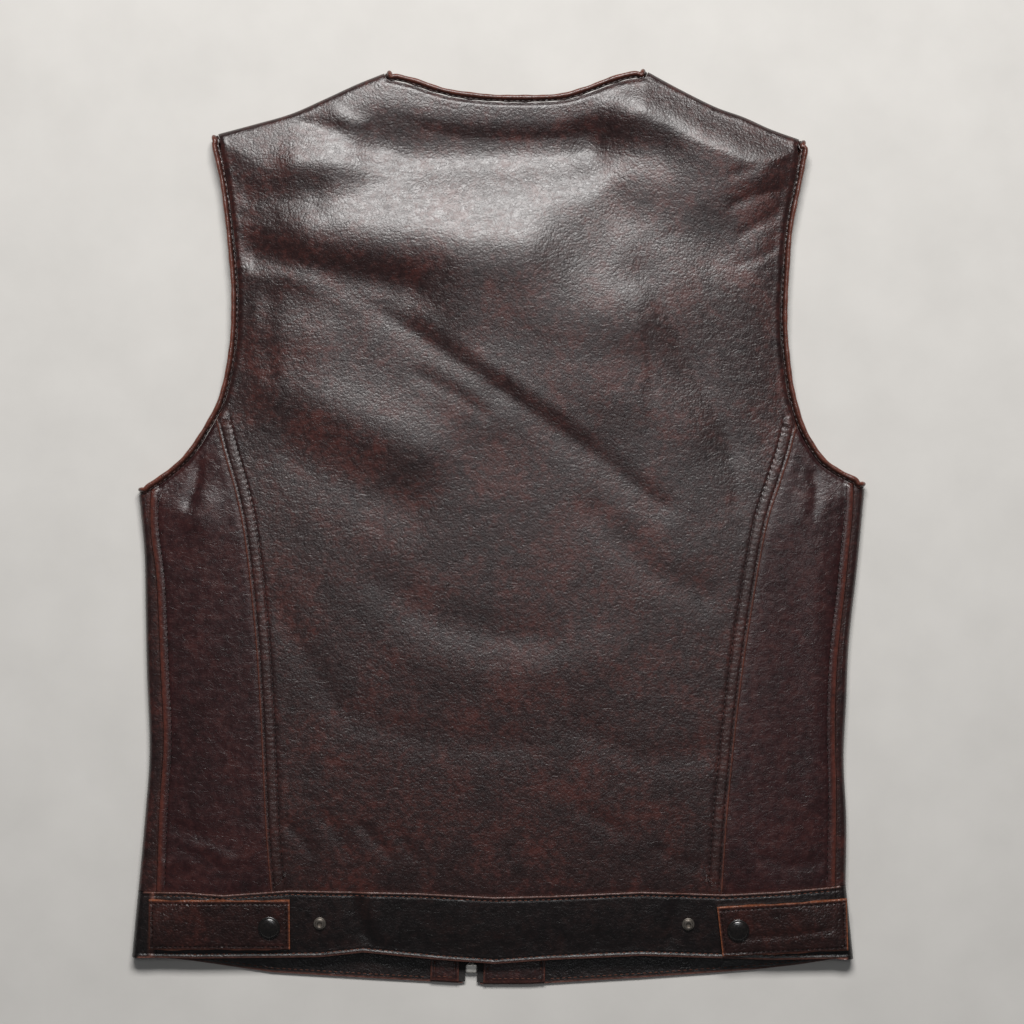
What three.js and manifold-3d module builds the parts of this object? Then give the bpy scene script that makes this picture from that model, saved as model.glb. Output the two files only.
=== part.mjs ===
// Leather vest laid flat, face down, with its back up.
// Millimetres. +X is the wearer's right, +Y runs from hem to neck, +Z is up from the surface.
import * as THREE from 'three';
import Module from 'manifold-3d';

const wasm = await Module();
wasm.setup();

// Thicknesses and gaps
const leather = 1.6;            // one layer of the body leather
const band_leather = 2.4;       // waistband, turned and stitched through
const tab_leather = 3.2;        // two layers, edge to edge
const tape_cloth = 0.8;         // zip tape
const seam_gap = 0.3;           // between pieces at every seam
const tab_gap = 0.7;            // under the tabs
const binding_bead = 4.8;       // diameter of the rolled binding
const binding_gap = 0.8;        // a bead's corners stay clear of the panel's
const binding_step = binding_bead / 2 + binding_gap;   // panel edge to the middle of the binding
const band_step = 0.9;          // middle of the waistband above the middle of the body leather
const lapped_edge_lift = 0.9;   // the back's edge lies over the side panel's turned edge

// Shape of the worn-in cloth as it lies
const fold_height = 12;         // middle of the top layer above the surface, at every fold
const body_rise = 8;            // how much higher the middle of the back lies
const body_fall = 45;           // distance over which it comes down to an edge
const fold_inset = 5.4;         // where the top layer starts to turn down
const turn_reach = fold_inset - leather / 2;   // how far the middle of the cloth runs out over a fold
const bead_reach = 3.8;         // and the middle of a binding
const shoulder_under = 10;      // how far the back runs on under the shoulder folds
const front_lift = 3.2;         // the fronts stand off the surface at the zip slider
const front_lift_reach = { x: 60, y: 90 };

// The outlines below are drawn from the middle of the photographed vest. This brings their box's middle to 0, 0.
const origin_shift = { x: 0.8, y: 0.6 };

// Mesh steps
const side_rows = 16;
const armhole_rows = 15;
const shoulder_columns = 8;
const neck_columns = 10;
const side_columns = 6;
const front_columns = shoulder_columns;
const turn_steps = 5;
const band_row_count = 6;
const band_columns = 30;
const tab_columns = 6;
const zip_rows = 14;
const bead_sides = 6;
const neck_rings = 84;
const armhole_rings = 100;
const neck_points = 24;
const v_edge_points = 8;
const armhole_points = 22;
const lathe_sides = 16;

// Zip
const zip_foot = { x: -21.4, y: -331 };
const zip_head = { x: -10.6, y: 104 };
const front_to_zip = 6.5;       // front's edge to the middle of the zip
const facing_to_zip = 9.2;      // facing's edge to the middle of the zip
const facing_width = { left: 21, right: 45.6 };
const facing_top = 105;
const hem_margin = 1.5;         // strips beside the zip end this far above the hem
const chain = { width: 5, thick: 2.4 };
const tape = { inner: 2.8, outer: 14, foot: -324.6, head: 110 };
const tape_middle = band_leather + seam_gap + tape_cloth / 2;
const zip_box_size = { x: 8, y: 6, z: 3.6 };
const slider = { width: 9, length: 11, wing: 1, post: 3.6, head: 106 };
const bridge = { width: 2.4, half_length: 2.1, leg: 0.9, height: 3.1, roof: 0.8, y: 98 };
const pull = { width: 6, length: 28, thick: 1.2, bar: 1, eye_width: 3.4, eye_length: 4.5, drop: 1.2 };

// Snap fasteners
const snap_cap = { radius: 8.2, height: 3.2, rim: 1.1 };
const cap_dome = [{ out: 0.72, up: 0.85 }, { out: 0.36, up: 1 }];   // shares of radius and height
const snap_stud = { radius: 4.6, flange: 0.8, ring: 3.2, hollow: 1.9, height: 3 };
const snap_clearance = 0.45;    // a tilted snap's low edge stays clear of the leather
const snap_places = [
  { name: 'snap_cap_left', x: -170, y: -295, on_tab: true },
  { name: 'snap_cap_right', x: 175.5, y: -297, on_tab: true },
  { name: 'snap_stud_left', x: -133, y: -292.5, on_tab: false },
  { name: 'snap_stud_right', x: 139, y: -293, on_tab: false },
];

// Outlines in plan, each point [x, y]. Rims are the outer edge of the binding.
const shoulder_fold = {
  left: [[-209, 291.5], [-181, 299], [-155, 306.5], [-131, 317], [-106, 328.5], [-86, 336.5]],
  right: [[222, 287.5], [201, 295], [181, 304], [159, 312], [131, 326], [110, 337.5]],
};
const armhole_rim = {
  left: [[-215, 290], [-207, 253], [-202, 212], [-199, 170], [-201, 130], [-208, 97], [-215, 82],
    [-230, 58], [-244, 44], [-261, 32], [-271, 28]],
  right: [[229, 286], [224, 257], [217, 222], [214, 184], [213, 148], [217, 108], [225, 77],
    [238, 54], [250, 44], [264, 36.5], [273, 32]],
};
const rim_at_princess = 6;      // place in armhole_rim where the princess seam meets it
const rim_at_side_seam = 9;     // place in armhole_rim where the side seam meets it
const rim_at_shoulder = 0.3;    // and where the binding comes off the shoulder fold
const side_fold = {
  left: [[-268.3, -269.3], [-263, -211], [-260, -165], [-262, -107], [-263, -58], [-264, -17], [-268, 24]],
  right: [[256.5, -264.8], [257, -217], [255, -172], [257, -128], [259, -84], [265, -30], [270.5, 28]],
};
const band_fold = {
  left: [[-268.3, -269.6], [-272, -291], [-273, -318]],
  right: [[256.5, -265.1], [260, -291], [262, -319]],
};
const side_seam = {
  left: [[-254, -270], [-252, -209], [-249, -158], [-251, -107], [-254, -41], [-258, -9], [-259, 10]],
  right: [[248, -266], [249, -200], [248, -145], [250, -95], [255, -50], [259, -10], [261, 10]],
};
const princess_seam = {
  left: [[-169, -270], [-173, -220], [-177, -134], [-181, -75], [-188, -12], [-195, 24], [-204, 55]],
  right: [[164, -270], [168, -210], [175, -140], [183, -80], [196, -4], [207, 32], [214, 53]],
};
const neck_edge = [[-66, 327.3], [-48, 321.2], [-30, 317.2], [0, 314.4], [42, 315], [63, 320.2],
  [82, 327.3], [96, 331.3]];
const front_neck_edge = {
  left: [[-17.1, 112], [-38, 165], [-58, 220], [-72, 270]],
  right: [[-3.9, 112], [22, 165], [52, 220], [80, 275]],
};
const front_armhole_edge = {
  left: [[-245, 33], [-222, 52], [-205, 78], [-193, 106], [-188, 150], [-189, 205]],
  right: [[247, 36], [231, 54], [217, 78], [206, 106], [202, 150], [205, 205]],
};
const band_top = [[-269, -269.5], [-232, -269.5], [-204, -271.5], [-155, -268], [-61, -270], [-4, -273],
  [38, -272], [104, -269], [167, -271], [203, -269], [245, -266], [257, -264.8]];
const band_foot = [[-273, -318], [-225, -319], [-133, -318], [-101, -314.5], [-45, -320], [-4, -323],
  [38, -320], [104, -317], [203, -320], [262, -319]];
const front_band_top = [[-273, -269.5], [-21, -271], [262, -264.9]];
const front_hem = [[-273, -318], [-228, -322.5], [-169, -331], [-84, -336], [-12, -340], [21, -340],
  [104, -335], [189, -329], [224, -325], [262, -319]];
const tab_corners = {
  left: { foot: [[-259, -312], [-155, -312]], head: [[-259, -275], [-155, -275]] },
  right: { foot: [[164.5, -317], [257, -312.5]], head: [[160, -280], [256, -274.5]] },
};

// Folds of the back as it lies: a soft ridge (up > 0) or trough (up < 0) along a line
const folds = [
  { name: 'yoke ridge', from: [-155, 228], to: [63, 235], half: 17, up: 3.4 },
  { name: 'crown', from: [-20, 262], to: [30, 266], half: 28, up: 2.2 },
  { name: 'left shoulder ridge', from: [-141, 286], to: [-92, 288], half: 10, up: 2 },
  { name: 'upper left trough', from: [-148, 258], to: [-81, 264], half: 11, up: -2.6 },
  { name: 'left blade trough', from: [-159, 211], to: [-37, 205], half: 11, up: -2.8 },
  { name: 'left blade swell', from: [-159, 152], to: [-85, 142], half: 22, up: 3 },
  { name: 'long crease, upper', from: [-122, 181], to: [0, 105], half: 10, up: -2.6 },
  { name: 'long crease, lower', from: [0, 105], to: [118, 16], half: 10, up: -2.4 },
  { name: 'left rib swell', from: [-141, 116], to: [-59, 72], half: 15, up: 2.8 },
  { name: 'left rib trough', from: [-141, 84], to: [-15, -13], half: 17, up: -3 },
  { name: 'right shoulder trough', from: [104, 297], to: [163, 212], half: 14, up: -2.4 },
  { name: 'right blade swell', from: [111, 242], to: [148, 212], half: 14, up: 1.6 },
  { name: 'right blade crease', from: [107, 186], to: [170, 57], half: 11, up: -2.2 },
  { name: 'right rib swell', from: [128, 104], to: [134, 88], half: 15, up: 2 },
];

// Sides and directions. The name says the photo's side: left is at -X.
const sides = ['left', 'right'];
const outward = { left: -1, right: 1 };

function fold_axes(side) {
  // across: from the shoulder point towards the neck; over: out over the shoulder fold
  const line = shoulder_fold[side];
  const across = new THREE.Vector2(line.at(-1)[0] - line[0][0], line.at(-1)[1] - line[0][1]).normalize();
  const over = new THREE.Vector2(-across.y, across.x).multiplyScalar(-outward[side]);
  return { across, over };
}

// Plan curves
function vectors(points) {
  return points.map(([x, y]) => new THREE.Vector2(x, y));
}

function stretch(points, first, last, count) {
  const curve = new THREE.SplineCurve(vectors(points));
  const whole = points.length - 1;
  return Array.from({ length: count + 1 }, (_, i) => curve.getPoint((first + (last - first) * i / count) / whole));
}

function evenly(points, count) {
  return new THREE.SplineCurve(vectors(points)).getSpacedPoints(count);
}

function height_along(curve, x) {
  const next = curve.findIndex((point) => point[0] >= x);
  if (next === 0) return curve[0][1];
  if (next < 0) return curve.at(-1)[1];
  const [x0, y0] = curve[next - 1];
  const [x1, y1] = curve[next];
  return y0 + (y1 - y0) * (x - x0) / (x1 - x0);
}

function moved_sideways(line, distance) {
  // distance to the left of the way the line runs
  return line.map((point, i) => {
    const before = line[Math.max(i - 1, 0)];
    const after = line[Math.min(i + 1, line.length - 1)];
    const way = after.clone().sub(before).normalize();
    return new THREE.Vector2(point.x - way.y * distance, point.y + way.x * distance);
  });
}

function zip_x(y) {
  return zip_foot.x + (zip_head.x - zip_foot.x) * (y - zip_foot.y) / (zip_head.y - zip_foot.y);
}

// Heights
const outline = [
  ...stretch(armhole_rim.left, 0, armhole_rim.left.length - 1, 30),
  ...evenly(side_fold.left.toReversed(), 16),
  ...evenly(band_fold.left, 3),
  ...vectors(band_foot),
  ...evenly(band_fold.right.toReversed(), 3),
  ...evenly(side_fold.right, 16),
  ...stretch(armhole_rim.right, 0, armhole_rim.right.length - 1, 30).toReversed(),
  ...evenly(shoulder_fold.right, 8),
  ...moved_sideways(evenly(neck_edge, 12), binding_bead).toReversed(),
  ...evenly(shoulder_fold.left.toReversed(), 8),
];

function distance_to_stretch(x, y, from, to) {
  const along_x = to[0] - from[0];
  const along_y = to[1] - from[1];
  const share = ((x - from[0]) * along_x + (y - from[1]) * along_y) / (along_x ** 2 + along_y ** 2);
  const near = THREE.MathUtils.clamp(share, 0, 1);
  return Math.hypot(x - from[0] - along_x * near, y - from[1] - along_y * near);
}

function distance_to_outline(x, y) {
  let least = Infinity;
  outline.forEach((point, i) => {
    const next = outline[(i + 1) % outline.length];
    if (point.distanceTo(next) > 0) {
      least = Math.min(least, distance_to_stretch(x, y, point.toArray(), next.toArray()));
    }
  });
  return least;
}

function top_height(x, y) {
  const inside = Math.max(distance_to_outline(x, y) - fold_inset, 0);
  const rise = 1 - Math.exp(-inside / body_fall);
  let height = fold_height + body_rise * rise;
  for (const fold of folds) {
    const away = distance_to_stretch(x, y, fold.from, fold.to) / fold.half;
    height += fold.up * Math.exp(-away * away) * Math.min(1, inside / fold.half);
  }
  return height;
}

function lower_lift(x, y) {
  const away = Math.hypot((x - zip_x(y)) / front_lift_reach.x, (y - bridge.y) / front_lift_reach.y);
  return away < 1 ? front_lift * (1 - away * away) ** 2 : 0;
}

// Cloth walls: a grid of nodes, each a point on the middle of the cloth and its way out
const up = new THREE.Vector3(0, 0, 1);
const down = new THREE.Vector3(0, 0, -1);

function top_node(point, lift = 0) {
  return { point: new THREE.Vector3(point.x, point.y, top_height(point.x, point.y) + lift), out: up };
}

function lower_node(point, middle) {
  return { point: new THREE.Vector3(point.x, point.y, middle + lower_lift(point.x, point.y)), out: down };
}

function turn_nodes(top, lower_middle, over, steps) {
  // half a turn from the top layer, over the fold and down to the lower layer
  const radius = (top.point.z - lower_middle) / 2;
  return Array.from({ length: steps }, (_, i) => {
    const angle = Math.PI * (i + 1) / steps;
    const reach = Math.sin(angle) * turn_reach;
    const out = new THREE.Vector3(over.x * Math.sin(angle), over.y * Math.sin(angle), Math.cos(angle));
    const point = new THREE.Vector3(top.point.x + over.x * reach, top.point.y + over.y * reach,
      lower_middle + radius + Math.cos(angle) * radius);
    return { point, out };
  });
}

function patch(foot, head, left, right) {
  // surface between four plan lines: each point blends the lines that face each other
  const columns = foot.length - 1;
  const rows = left.length - 1;
  const corner = (a, b) => ({ a, b });
  const corners = [corner(foot[0], foot[columns]), corner(head[0], head[columns])];
  return foot.map((_, i) => left.map((__, j) => {
    const u = i / columns;
    const v = j / rows;
    const blend = (axis) => (1 - v) * foot[i][axis] + v * head[i][axis]
      + (1 - u) * left[j][axis] + u * right[j][axis]
      - (1 - v) * ((1 - u) * corners[0].a[axis] + u * corners[0].b[axis])
      - v * ((1 - u) * corners[1].a[axis] + u * corners[1].b[axis]);
    return new THREE.Vector2(blend('x'), blend('y'));
  }));
}

function faces_out(positions, index) {
  let volume = 0;
  const corner = (k) => new THREE.Vector3().fromArray(positions, 3 * index[k]);
  for (let k = 0; k < index.length; k += 3) {
    volume += corner(k).dot(corner(k + 1).cross(corner(k + 2)));
  }
  return volume > 0;
}

function geometry(positions, index) {
  const turned = faces_out(positions, index) ? index : index.toReversed();
  const made = new THREE.BufferGeometry();
  made.setAttribute('position', new THREE.Float32BufferAttribute(positions, 3));
  made.setIndex(turned);
  made.computeVertexNormals();
  return made;
}

function cloth_wall(grid, thickness, is_cloth = () => true) {
  // grid[i][j] holds the nodes; is_cloth(i, j) says whether the cell above node i, j is cloth
  const numbers = new Map();
  const positions = [];
  const index = [];
  const corner = (i, j, face) => {
    const key = `${i} ${j} ${face}`;
    if (!numbers.has(key)) {
      const { point, out } = grid[i][j];
      const moved = point.clone().addScaledVector(out, face * thickness / 2);
      numbers.set(key, positions.length / 3);
      positions.push(moved.x, moved.y, moved.z);
    }
    return numbers.get(key);
  };
  const quad = (a, b, c, d) => index.push(a, b, c, a, c, d);
  const cloth_at = (i, j) => i >= 0 && j >= 0 && i < grid.length - 1 && j < grid[0].length - 1 && is_cloth(i, j);
  for (let i = 0; i < grid.length - 1; i += 1) {
    for (let j = 0; j < grid[0].length - 1; j += 1) {
      if (cloth_at(i, j)) {
        quad(corner(i, j, 1), corner(i + 1, j, 1), corner(i + 1, j + 1, 1), corner(i, j + 1, 1));
        quad(corner(i, j, -1), corner(i, j + 1, -1), corner(i + 1, j + 1, -1), corner(i + 1, j, -1));
        const borders = [
          { open: !cloth_at(i, j - 1), a: [i, j], b: [i + 1, j] },
          { open: !cloth_at(i + 1, j), a: [i + 1, j], b: [i + 1, j + 1] },
          { open: !cloth_at(i, j + 1), a: [i + 1, j + 1], b: [i, j + 1] },
          { open: !cloth_at(i - 1, j), a: [i, j + 1], b: [i, j] },
        ];
        for (const { open, a, b } of borders) {
          if (open) quad(corner(...b, 1), corner(...a, 1), corner(...a, -1), corner(...b, -1));
        }
      }
    }
  }
  return geometry(positions, index);
}

function rolled_bead(path, closed, steps) {
  // round bead along a smooth path; its rings are carried along without twist
  const curve = new THREE.CatmullRomCurve3(path, closed);
  const frames = curve.computeFrenetFrames(steps, closed);
  const rings = closed ? steps : steps + 1;
  const positions = [];
  const index = [];
  for (let s = 0; s < rings; s += 1) {
    const centre = curve.getPointAt(s / steps);
    centre.z = Math.max(centre.z, binding_bead / 2);
    for (let k = 0; k < bead_sides; k += 1) {
      const angle = 2 * Math.PI * k / bead_sides;
      const spoke = centre.clone()
        .addScaledVector(frames.normals[s], Math.cos(angle) * binding_bead / 2)
        .addScaledVector(frames.binormals[s], Math.sin(angle) * binding_bead / 2);
      positions.push(spoke.x, spoke.y, spoke.z);
    }
  }
  const number = (s, k) => (s % rings) * bead_sides + (k % bead_sides);
  const last = closed ? rings : rings - 1;
  for (let s = 0; s < last; s += 1) {
    for (let k = 0; k < bead_sides; k += 1) {
      index.push(number(s, k), number(s + 1, k), number(s + 1, k + 1));
      index.push(number(s, k), number(s + 1, k + 1), number(s, k + 1));
    }
  }
  if (!closed) {
    for (let k = 1; k < bead_sides - 1; k += 1) {
      index.push(number(0, 0), number(0, k), number(0, k + 1));
      index.push(number(rings - 1, 0), number(rings - 1, k + 1), number(rings - 1, k));
    }
  }
  return geometry(positions, index);
}

// Shared edges, all as plan points
const edges = Object.fromEntries(sides.map((side) => {
  const { across, over } = fold_axes(side);
  const inward = -outward[side] * (binding_step + binding_bead / 2);
  const rim = (first, last, count) => moved_sideways(stretch(armhole_rim[side], first, last, count), inward);
  const shoulder = evenly(shoulder_fold[side], shoulder_columns)
    .map((point) => point.clone().addScaledVector(over, -fold_inset));
  const armhole = rim(0, rim_at_princess, armhole_rows);
  armhole[0] = shoulder[0];
  const side_armhole = rim(rim_at_princess, rim_at_side_seam, side_columns);
  side_armhole[0] = armhole.at(-1);
  const princess = evenly([...princess_seam[side], armhole.at(-1).toArray()], side_rows);
  const seam = evenly([...side_seam[side], side_armhole.at(-1).toArray()], side_rows);
  const fold = evenly(side_fold[side], side_rows);
  return [side, { across, over, shoulder, armhole, side_armhole, princess, seam, fold }];
}));

function toward(line, distance, side) {
  // moves a line sideways along X, outward for a positive distance
  return line.map((point) => new THREE.Vector2(point.x + outward[side] * distance, point.y));
}

function along_x(from, to, count, table, lift) {
  // points from one x to another, on a line whose height comes from a table
  return Array.from({ length: count + 1 }, (_, i) => {
    const x = from + (to - from) * i / count;
    return new THREE.Vector2(x, height_along(table, x) + lift);
  });
}

// Back: top layer, with the shoulders turned over and under
function back() {
  const half = seam_gap / 2;
  const edge = (side) => {
    const { princess, armhole } = edges[side];
    return [...toward(princess, -half, side).slice(0, -1), ...toward(armhole, 0, side).toReversed()];
  };
  const left = edge('left');
  const right = edge('right');
  const neck = evenly([edges.left.shoulder.at(-1).toArray(), ...neck_edge, edges.right.shoulder.at(-1).toArray()],
    neck_columns);
  const head = [...edges.left.shoulder, ...neck.slice(1, -1), ...edges.right.shoulder.toReversed()];
  const columns = head.length - 1;
  const foot = along_x(left[0].x, right[0].x, columns, band_top, half);
  left[0] = foot[0];
  right[0] = foot[columns];
  left[left.length - 1] = head[0];
  right[right.length - 1] = head[columns];
  const plan = patch(foot, head, left, right);
  const grid = plan.map((line, i) => {
    const lapped = i === 0 || i === columns;
    const nodes = line.map((point, j) => top_node(point, lapped && j <= side_rows ? lapped_edge_lift : 0));
    const side = i <= columns / 2 ? 'left' : 'right';
    const { over } = edges[side];
    const top = nodes.at(-1);
    const turned = turn_nodes(top, leather / 2, over, turn_steps);
    const under = turned.at(-1).point.clone();
    under.x -= over.x * shoulder_under;
    under.y -= over.y * shoulder_under;
    return [...nodes, ...turned, { point: under, out: down }];
  });
  const first_turned_row = left.length - 1;
  const is_cloth = (i, j) => j < first_turned_row || i < shoulder_columns || i >= columns - shoulder_columns;
  return cloth_wall(grid, leather, is_cloth);
}

// Side panels of the back, top layer
function side_panel(side) {
  const half = seam_gap / 2;
  const { princess, seam, side_armhole } = edges[side];
  const inner = toward(princess, half, side);
  const outer = toward(seam, -half, side);
  const foot = along_x(inner[0].x, outer[0].x, side_columns, band_top, half);
  const head = side_armhole.map((point) => point.clone());
  head[0] = inner.at(-1);
  head[side_columns] = outer.at(-1);
  inner[0] = foot[0];
  outer[0] = foot[side_columns];
  return cloth_wall(patch(foot, head, inner, outer).map((line) => line.map((point) => top_node(point))), leather);
}

// Fronts: lower layer, turned up over the side folds to the side seams
function front(side) {
  const half = seam_gap / 2;
  const { over, shoulder, seam, fold } = edges[side];
  const zip_edge = (y) => [zip_x(y) + outward[side] * front_to_zip, y];
  const under = shoulder.map((point) => point.clone().addScaledVector(over, -shoulder_under - seam_gap));
  const head = under.toReversed();
  const foot_y = height_along(band_top, zip_foot.x) + half;
  const neck_start = front_neck_edge[side][0];
  const inner = [
    ...evenly([zip_edge(foot_y), neck_start], side_rows).slice(0, -1),
    ...evenly([...front_neck_edge[side], head[0].toArray()], armhole_rows)];
  const turn_start = toward(fold, -fold_inset, side);
  const outer = [
    ...turn_start.slice(0, -1),
    ...evenly([turn_start.at(-1).toArray(), ...front_armhole_edge[side], head.at(-1).toArray()], armhole_rows)];
  const foot = along_x(inner[0].x, outer[0].x, front_columns, front_band_top, half);
  inner[0] = foot[0];
  outer[0] = foot[front_columns];
  const plan = patch(foot, head, inner, outer);
  const grid = plan.map((line) => line.map((point) => lower_node(point, leather / 2)));
  const over_side = new THREE.Vector2(outward[side], 0);
  const strips = outer.map((point, j) => {
    const row = Math.min(j, side_rows);
    const start = j < side_rows ? point : turn_start[side_rows];
    const top = top_node(start);
    const turned = turn_nodes(top, leather / 2, over_side, turn_steps).slice(0, -1).toReversed();
    const seam_point = toward([seam[row]], half, side)[0];
    if (row === 0) seam_point.y = height_along(band_top, seam_point.x) + half;
    return [...turned, top, top_node(seam_point)];
  });
  for (let k = 0; k <= turn_steps; k += 1) grid.push(strips.map((strip) => strip[k]));
  const is_cloth = (i, j) => i < front_columns || j < side_rows;
  return cloth_wall(grid, leather, is_cloth);
}

// Waistbands
function band_rows(foot, head) {
  const rows = band_row_count;
  return foot.map((point, i) => Array.from({ length: rows + 1 }, (_, j) => point.clone().lerp(head[i], j / rows)));
}

function back_waistband() {
  const half = seam_gap / 2;
  const from = side_seam.left[0][0] + half;
  const to = side_seam.right[0][0] - half;
  const head = along_x(from, to, band_columns, band_top, -half);
  const foot = along_x(from, to, band_columns, band_foot, 0);
  const grid = band_rows(foot, head).map((line) => line.map((point) => top_node(point, band_step)));
  return cloth_wall(grid, band_leather);
}

function front_waistband(side) {
  const half = seam_gap / 2;
  const columns = front_columns;
  const rows = band_row_count;
  const fold_top = evenly(band_fold[side], rows).toReversed();
  const turn_start = toward(fold_top, -fold_inset - (band_leather - leather) / 2, side).toReversed();
  const from = zip_x(zip_foot.y) + outward[side] * front_to_zip;
  const head = along_x(from, turn_start[0].x, columns, front_band_top, -half);
  const foot = along_x(from, turn_start[rows].x, columns, front_hem, 0);
  const lower = band_rows(head, foot);
  const grid = lower.map((line) => line.map((point) => lower_node(point, band_leather / 2)));
  const over_side = new THREE.Vector2(outward[side], 0);
  const strips = lower.at(-1).map((point, j) => {
    const top = top_node(point, band_step);
    const turned = turn_nodes(top, band_leather / 2, over_side, turn_steps).slice(0, -1).toReversed();
    const seam_x = side_seam[side][0][0] + outward[side] * half;
    const seam_head = height_along(band_top, seam_x) - half;
    const seam_foot = height_along(band_foot, seam_x);
    const at_seam = new THREE.Vector2(seam_x, seam_head + (seam_foot - seam_head) * j / rows);
    return [...turned, top, top_node(at_seam, band_step)];
  });
  for (let k = 0; k <= turn_steps; k += 1) grid.push(strips.map((strip) => strip[k]));
  return cloth_wall(grid, band_leather);
}

// Strips beside the zip, on the inside of the fronts
function zip_strip(side, inner, outer, foot_y, head_y, middle, thickness, columns) {
  const grid = Array.from({ length: columns + 1 }, (_, i) => Array.from({ length: zip_rows + 1 }, (__, j) => {
    const across = inner + (outer - inner) * i / columns;
    const hem = height_along(front_hem, zip_foot.x + outward[side] * across);
    const foot = Math.max(foot_y, hem + hem_margin);
    const y = foot + (head_y - foot) * j / zip_rows;
    return lower_node(new THREE.Vector2(zip_x(y) + outward[side] * across, y), middle);
  }));
  return cloth_wall(grid, thickness);
}

function front_facing(side) {
  const middle = tape_middle + tape_cloth / 2 + seam_gap + leather / 2;
  const outer = facing_to_zip + facing_width[side];
  return zip_strip(side, facing_to_zip, outer, front_hem[4][1], facing_top, middle, leather, 2);
}

function zip_tape(side) {
  return zip_strip(side, tape.inner, tape.outer, tape.foot, tape.head, tape_middle, tape_cloth, 1);
}

function zip_chain() {
  const foot = zip_foot.y + zip_box_size.y + seam_gap;
  const head = slider.head - slider.post - seam_gap;
  const grid = [-chain.width / 2, chain.width / 2].map((across) => Array.from({ length: zip_rows + 1 }, (_, j) => {
    const y = foot + (head - foot) * j / zip_rows;
    return lower_node(new THREE.Vector2(zip_x(y) + across, y), tape_middle);
  }));
  return cloth_wall(grid, chain.thick);
}

// Bindings
function lower_bead_points(line, distance) {
  return moved_sideways(line, distance)
    .map((point) => new THREE.Vector3(point.x, point.y, binding_bead / 2 + lower_lift(point.x, point.y)));
}

function top_bead_points(line, distance) {
  return moved_sideways(line, distance)
    .map((point) => new THREE.Vector3(point.x, point.y, top_height(point.x, point.y)));
}

function bead_turn(start, over, aside) {
  // half a turn from the top layer down to the lower one, beside the end of a fold
  const top = start.clone().add(aside);
  const high = top_height(start.x, start.y);
  const low = binding_bead / 2;
  return [0, 0.25, 0.5, 0.75, 1].map((share) => {
    const angle = Math.PI * share;
    const reach = Math.sin(angle) * bead_reach;
    return new THREE.Vector3(top.x + over.x * reach, top.y + over.y * reach,
      (high + low) / 2 + Math.cos(angle) * (high - low) / 2);
  });
}

function neck_binding() {
  const start = (side) => {
    const { across, over, shoulder } = edges[side];
    const corner = shoulder.at(-1);
    const aside = across.clone().multiplyScalar(binding_step);
    const under_end = corner.clone().addScaledVector(over, -shoulder_under);
    const v_edge = evenly([...front_neck_edge[side], under_end.toArray()], v_edge_points);
    return { turn: bead_turn(corner, over, aside), low: lower_bead_points(v_edge, outward[side] * binding_step) };
  };
  const left = start('left');
  const right = start('right');
  const ends = sides.map((side) => edges[side].shoulder.at(-1).toArray());
  const line = evenly([ends[0], ...neck_edge, ends[1]], neck_points);
  const over_back = top_bead_points(line, binding_step).slice(1, -1);
  const path = [...left.low, ...left.turn.toReversed(), ...over_back, ...right.turn, ...right.low.toReversed()];
  return rolled_bead(path, false, neck_rings);
}

function armhole_binding(side) {
  const { across, over, shoulder, fold } = edges[side];
  const rim = stretch(armhole_rim[side], rim_at_shoulder, rim_at_side_seam, armhole_points);
  const over_top = top_bead_points(rim, -outward[side] * binding_bead / 2);
  const aside = across.clone().multiplyScalar(-binding_step);
  const shoulder_turn = bead_turn(shoulder[0], over, aside);
  const side_end = toward([fold.at(-1)], -fold_inset, side)[0];
  const side_turn = bead_turn(side_end, new THREE.Vector2(outward[side], 0), new THREE.Vector2(0, binding_step));
  const under_end = shoulder[0].clone().addScaledVector(over, -shoulder_under);
  const low_line = evenly([side_end.toArray(), ...front_armhole_edge[side], under_end.toArray()], armhole_points);
  const low = lower_bead_points(low_line, -outward[side] * binding_step);
  const path = [...over_top, ...side_turn, ...low.slice(1), ...shoulder_turn.toReversed()];
  return rolled_bead(path, true, armhole_rings);
}

// Adjuster tabs, on the waistband
const tab_middle = band_step + band_leather / 2 + tab_gap + tab_leather / 2;

function tab(side) {
  const { foot, head } = tab_corners[side];
  const low = evenly(foot, tab_columns);
  const high = evenly(head, tab_columns);
  const grid = band_rows(low, high).map((line) => line.map((point) => top_node(point, tab_middle)));
  return cloth_wall(grid, tab_leather);
}

// Snap fasteners, turned round their own axis and set on the cloth's slope
function cap_geometry() {
  const dome = cap_dome.map(({ out, up: rise }) => [snap_cap.radius * out, snap_cap.height * rise]);
  const profile = [[0, 0], [snap_cap.radius, 0], [snap_cap.radius, snap_cap.rim], ...dome, [0, snap_cap.height]];
  return new THREE.LatheGeometry(vectors(profile), lathe_sides);
}

function stud_geometry() {
  const profile = [[0, 0], [snap_stud.radius, 0], [snap_stud.radius, snap_stud.flange],
    [snap_stud.ring, snap_stud.flange], [snap_stud.ring, snap_stud.height], [snap_stud.hollow, snap_stud.height],
    [snap_stud.hollow, snap_stud.flange], [0, snap_stud.flange]];
  return new THREE.LatheGeometry(vectors(profile), lathe_sides);
}

function surface_normal(x, y) {
  const step = 6;
  const slope_x = (top_height(x + step, y) - top_height(x - step, y)) / (2 * step);
  const slope_y = (top_height(x, y + step) - top_height(x, y - step)) / (2 * step);
  return new THREE.Vector3(-slope_x, -slope_y, 1).normalize();
}

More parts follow.
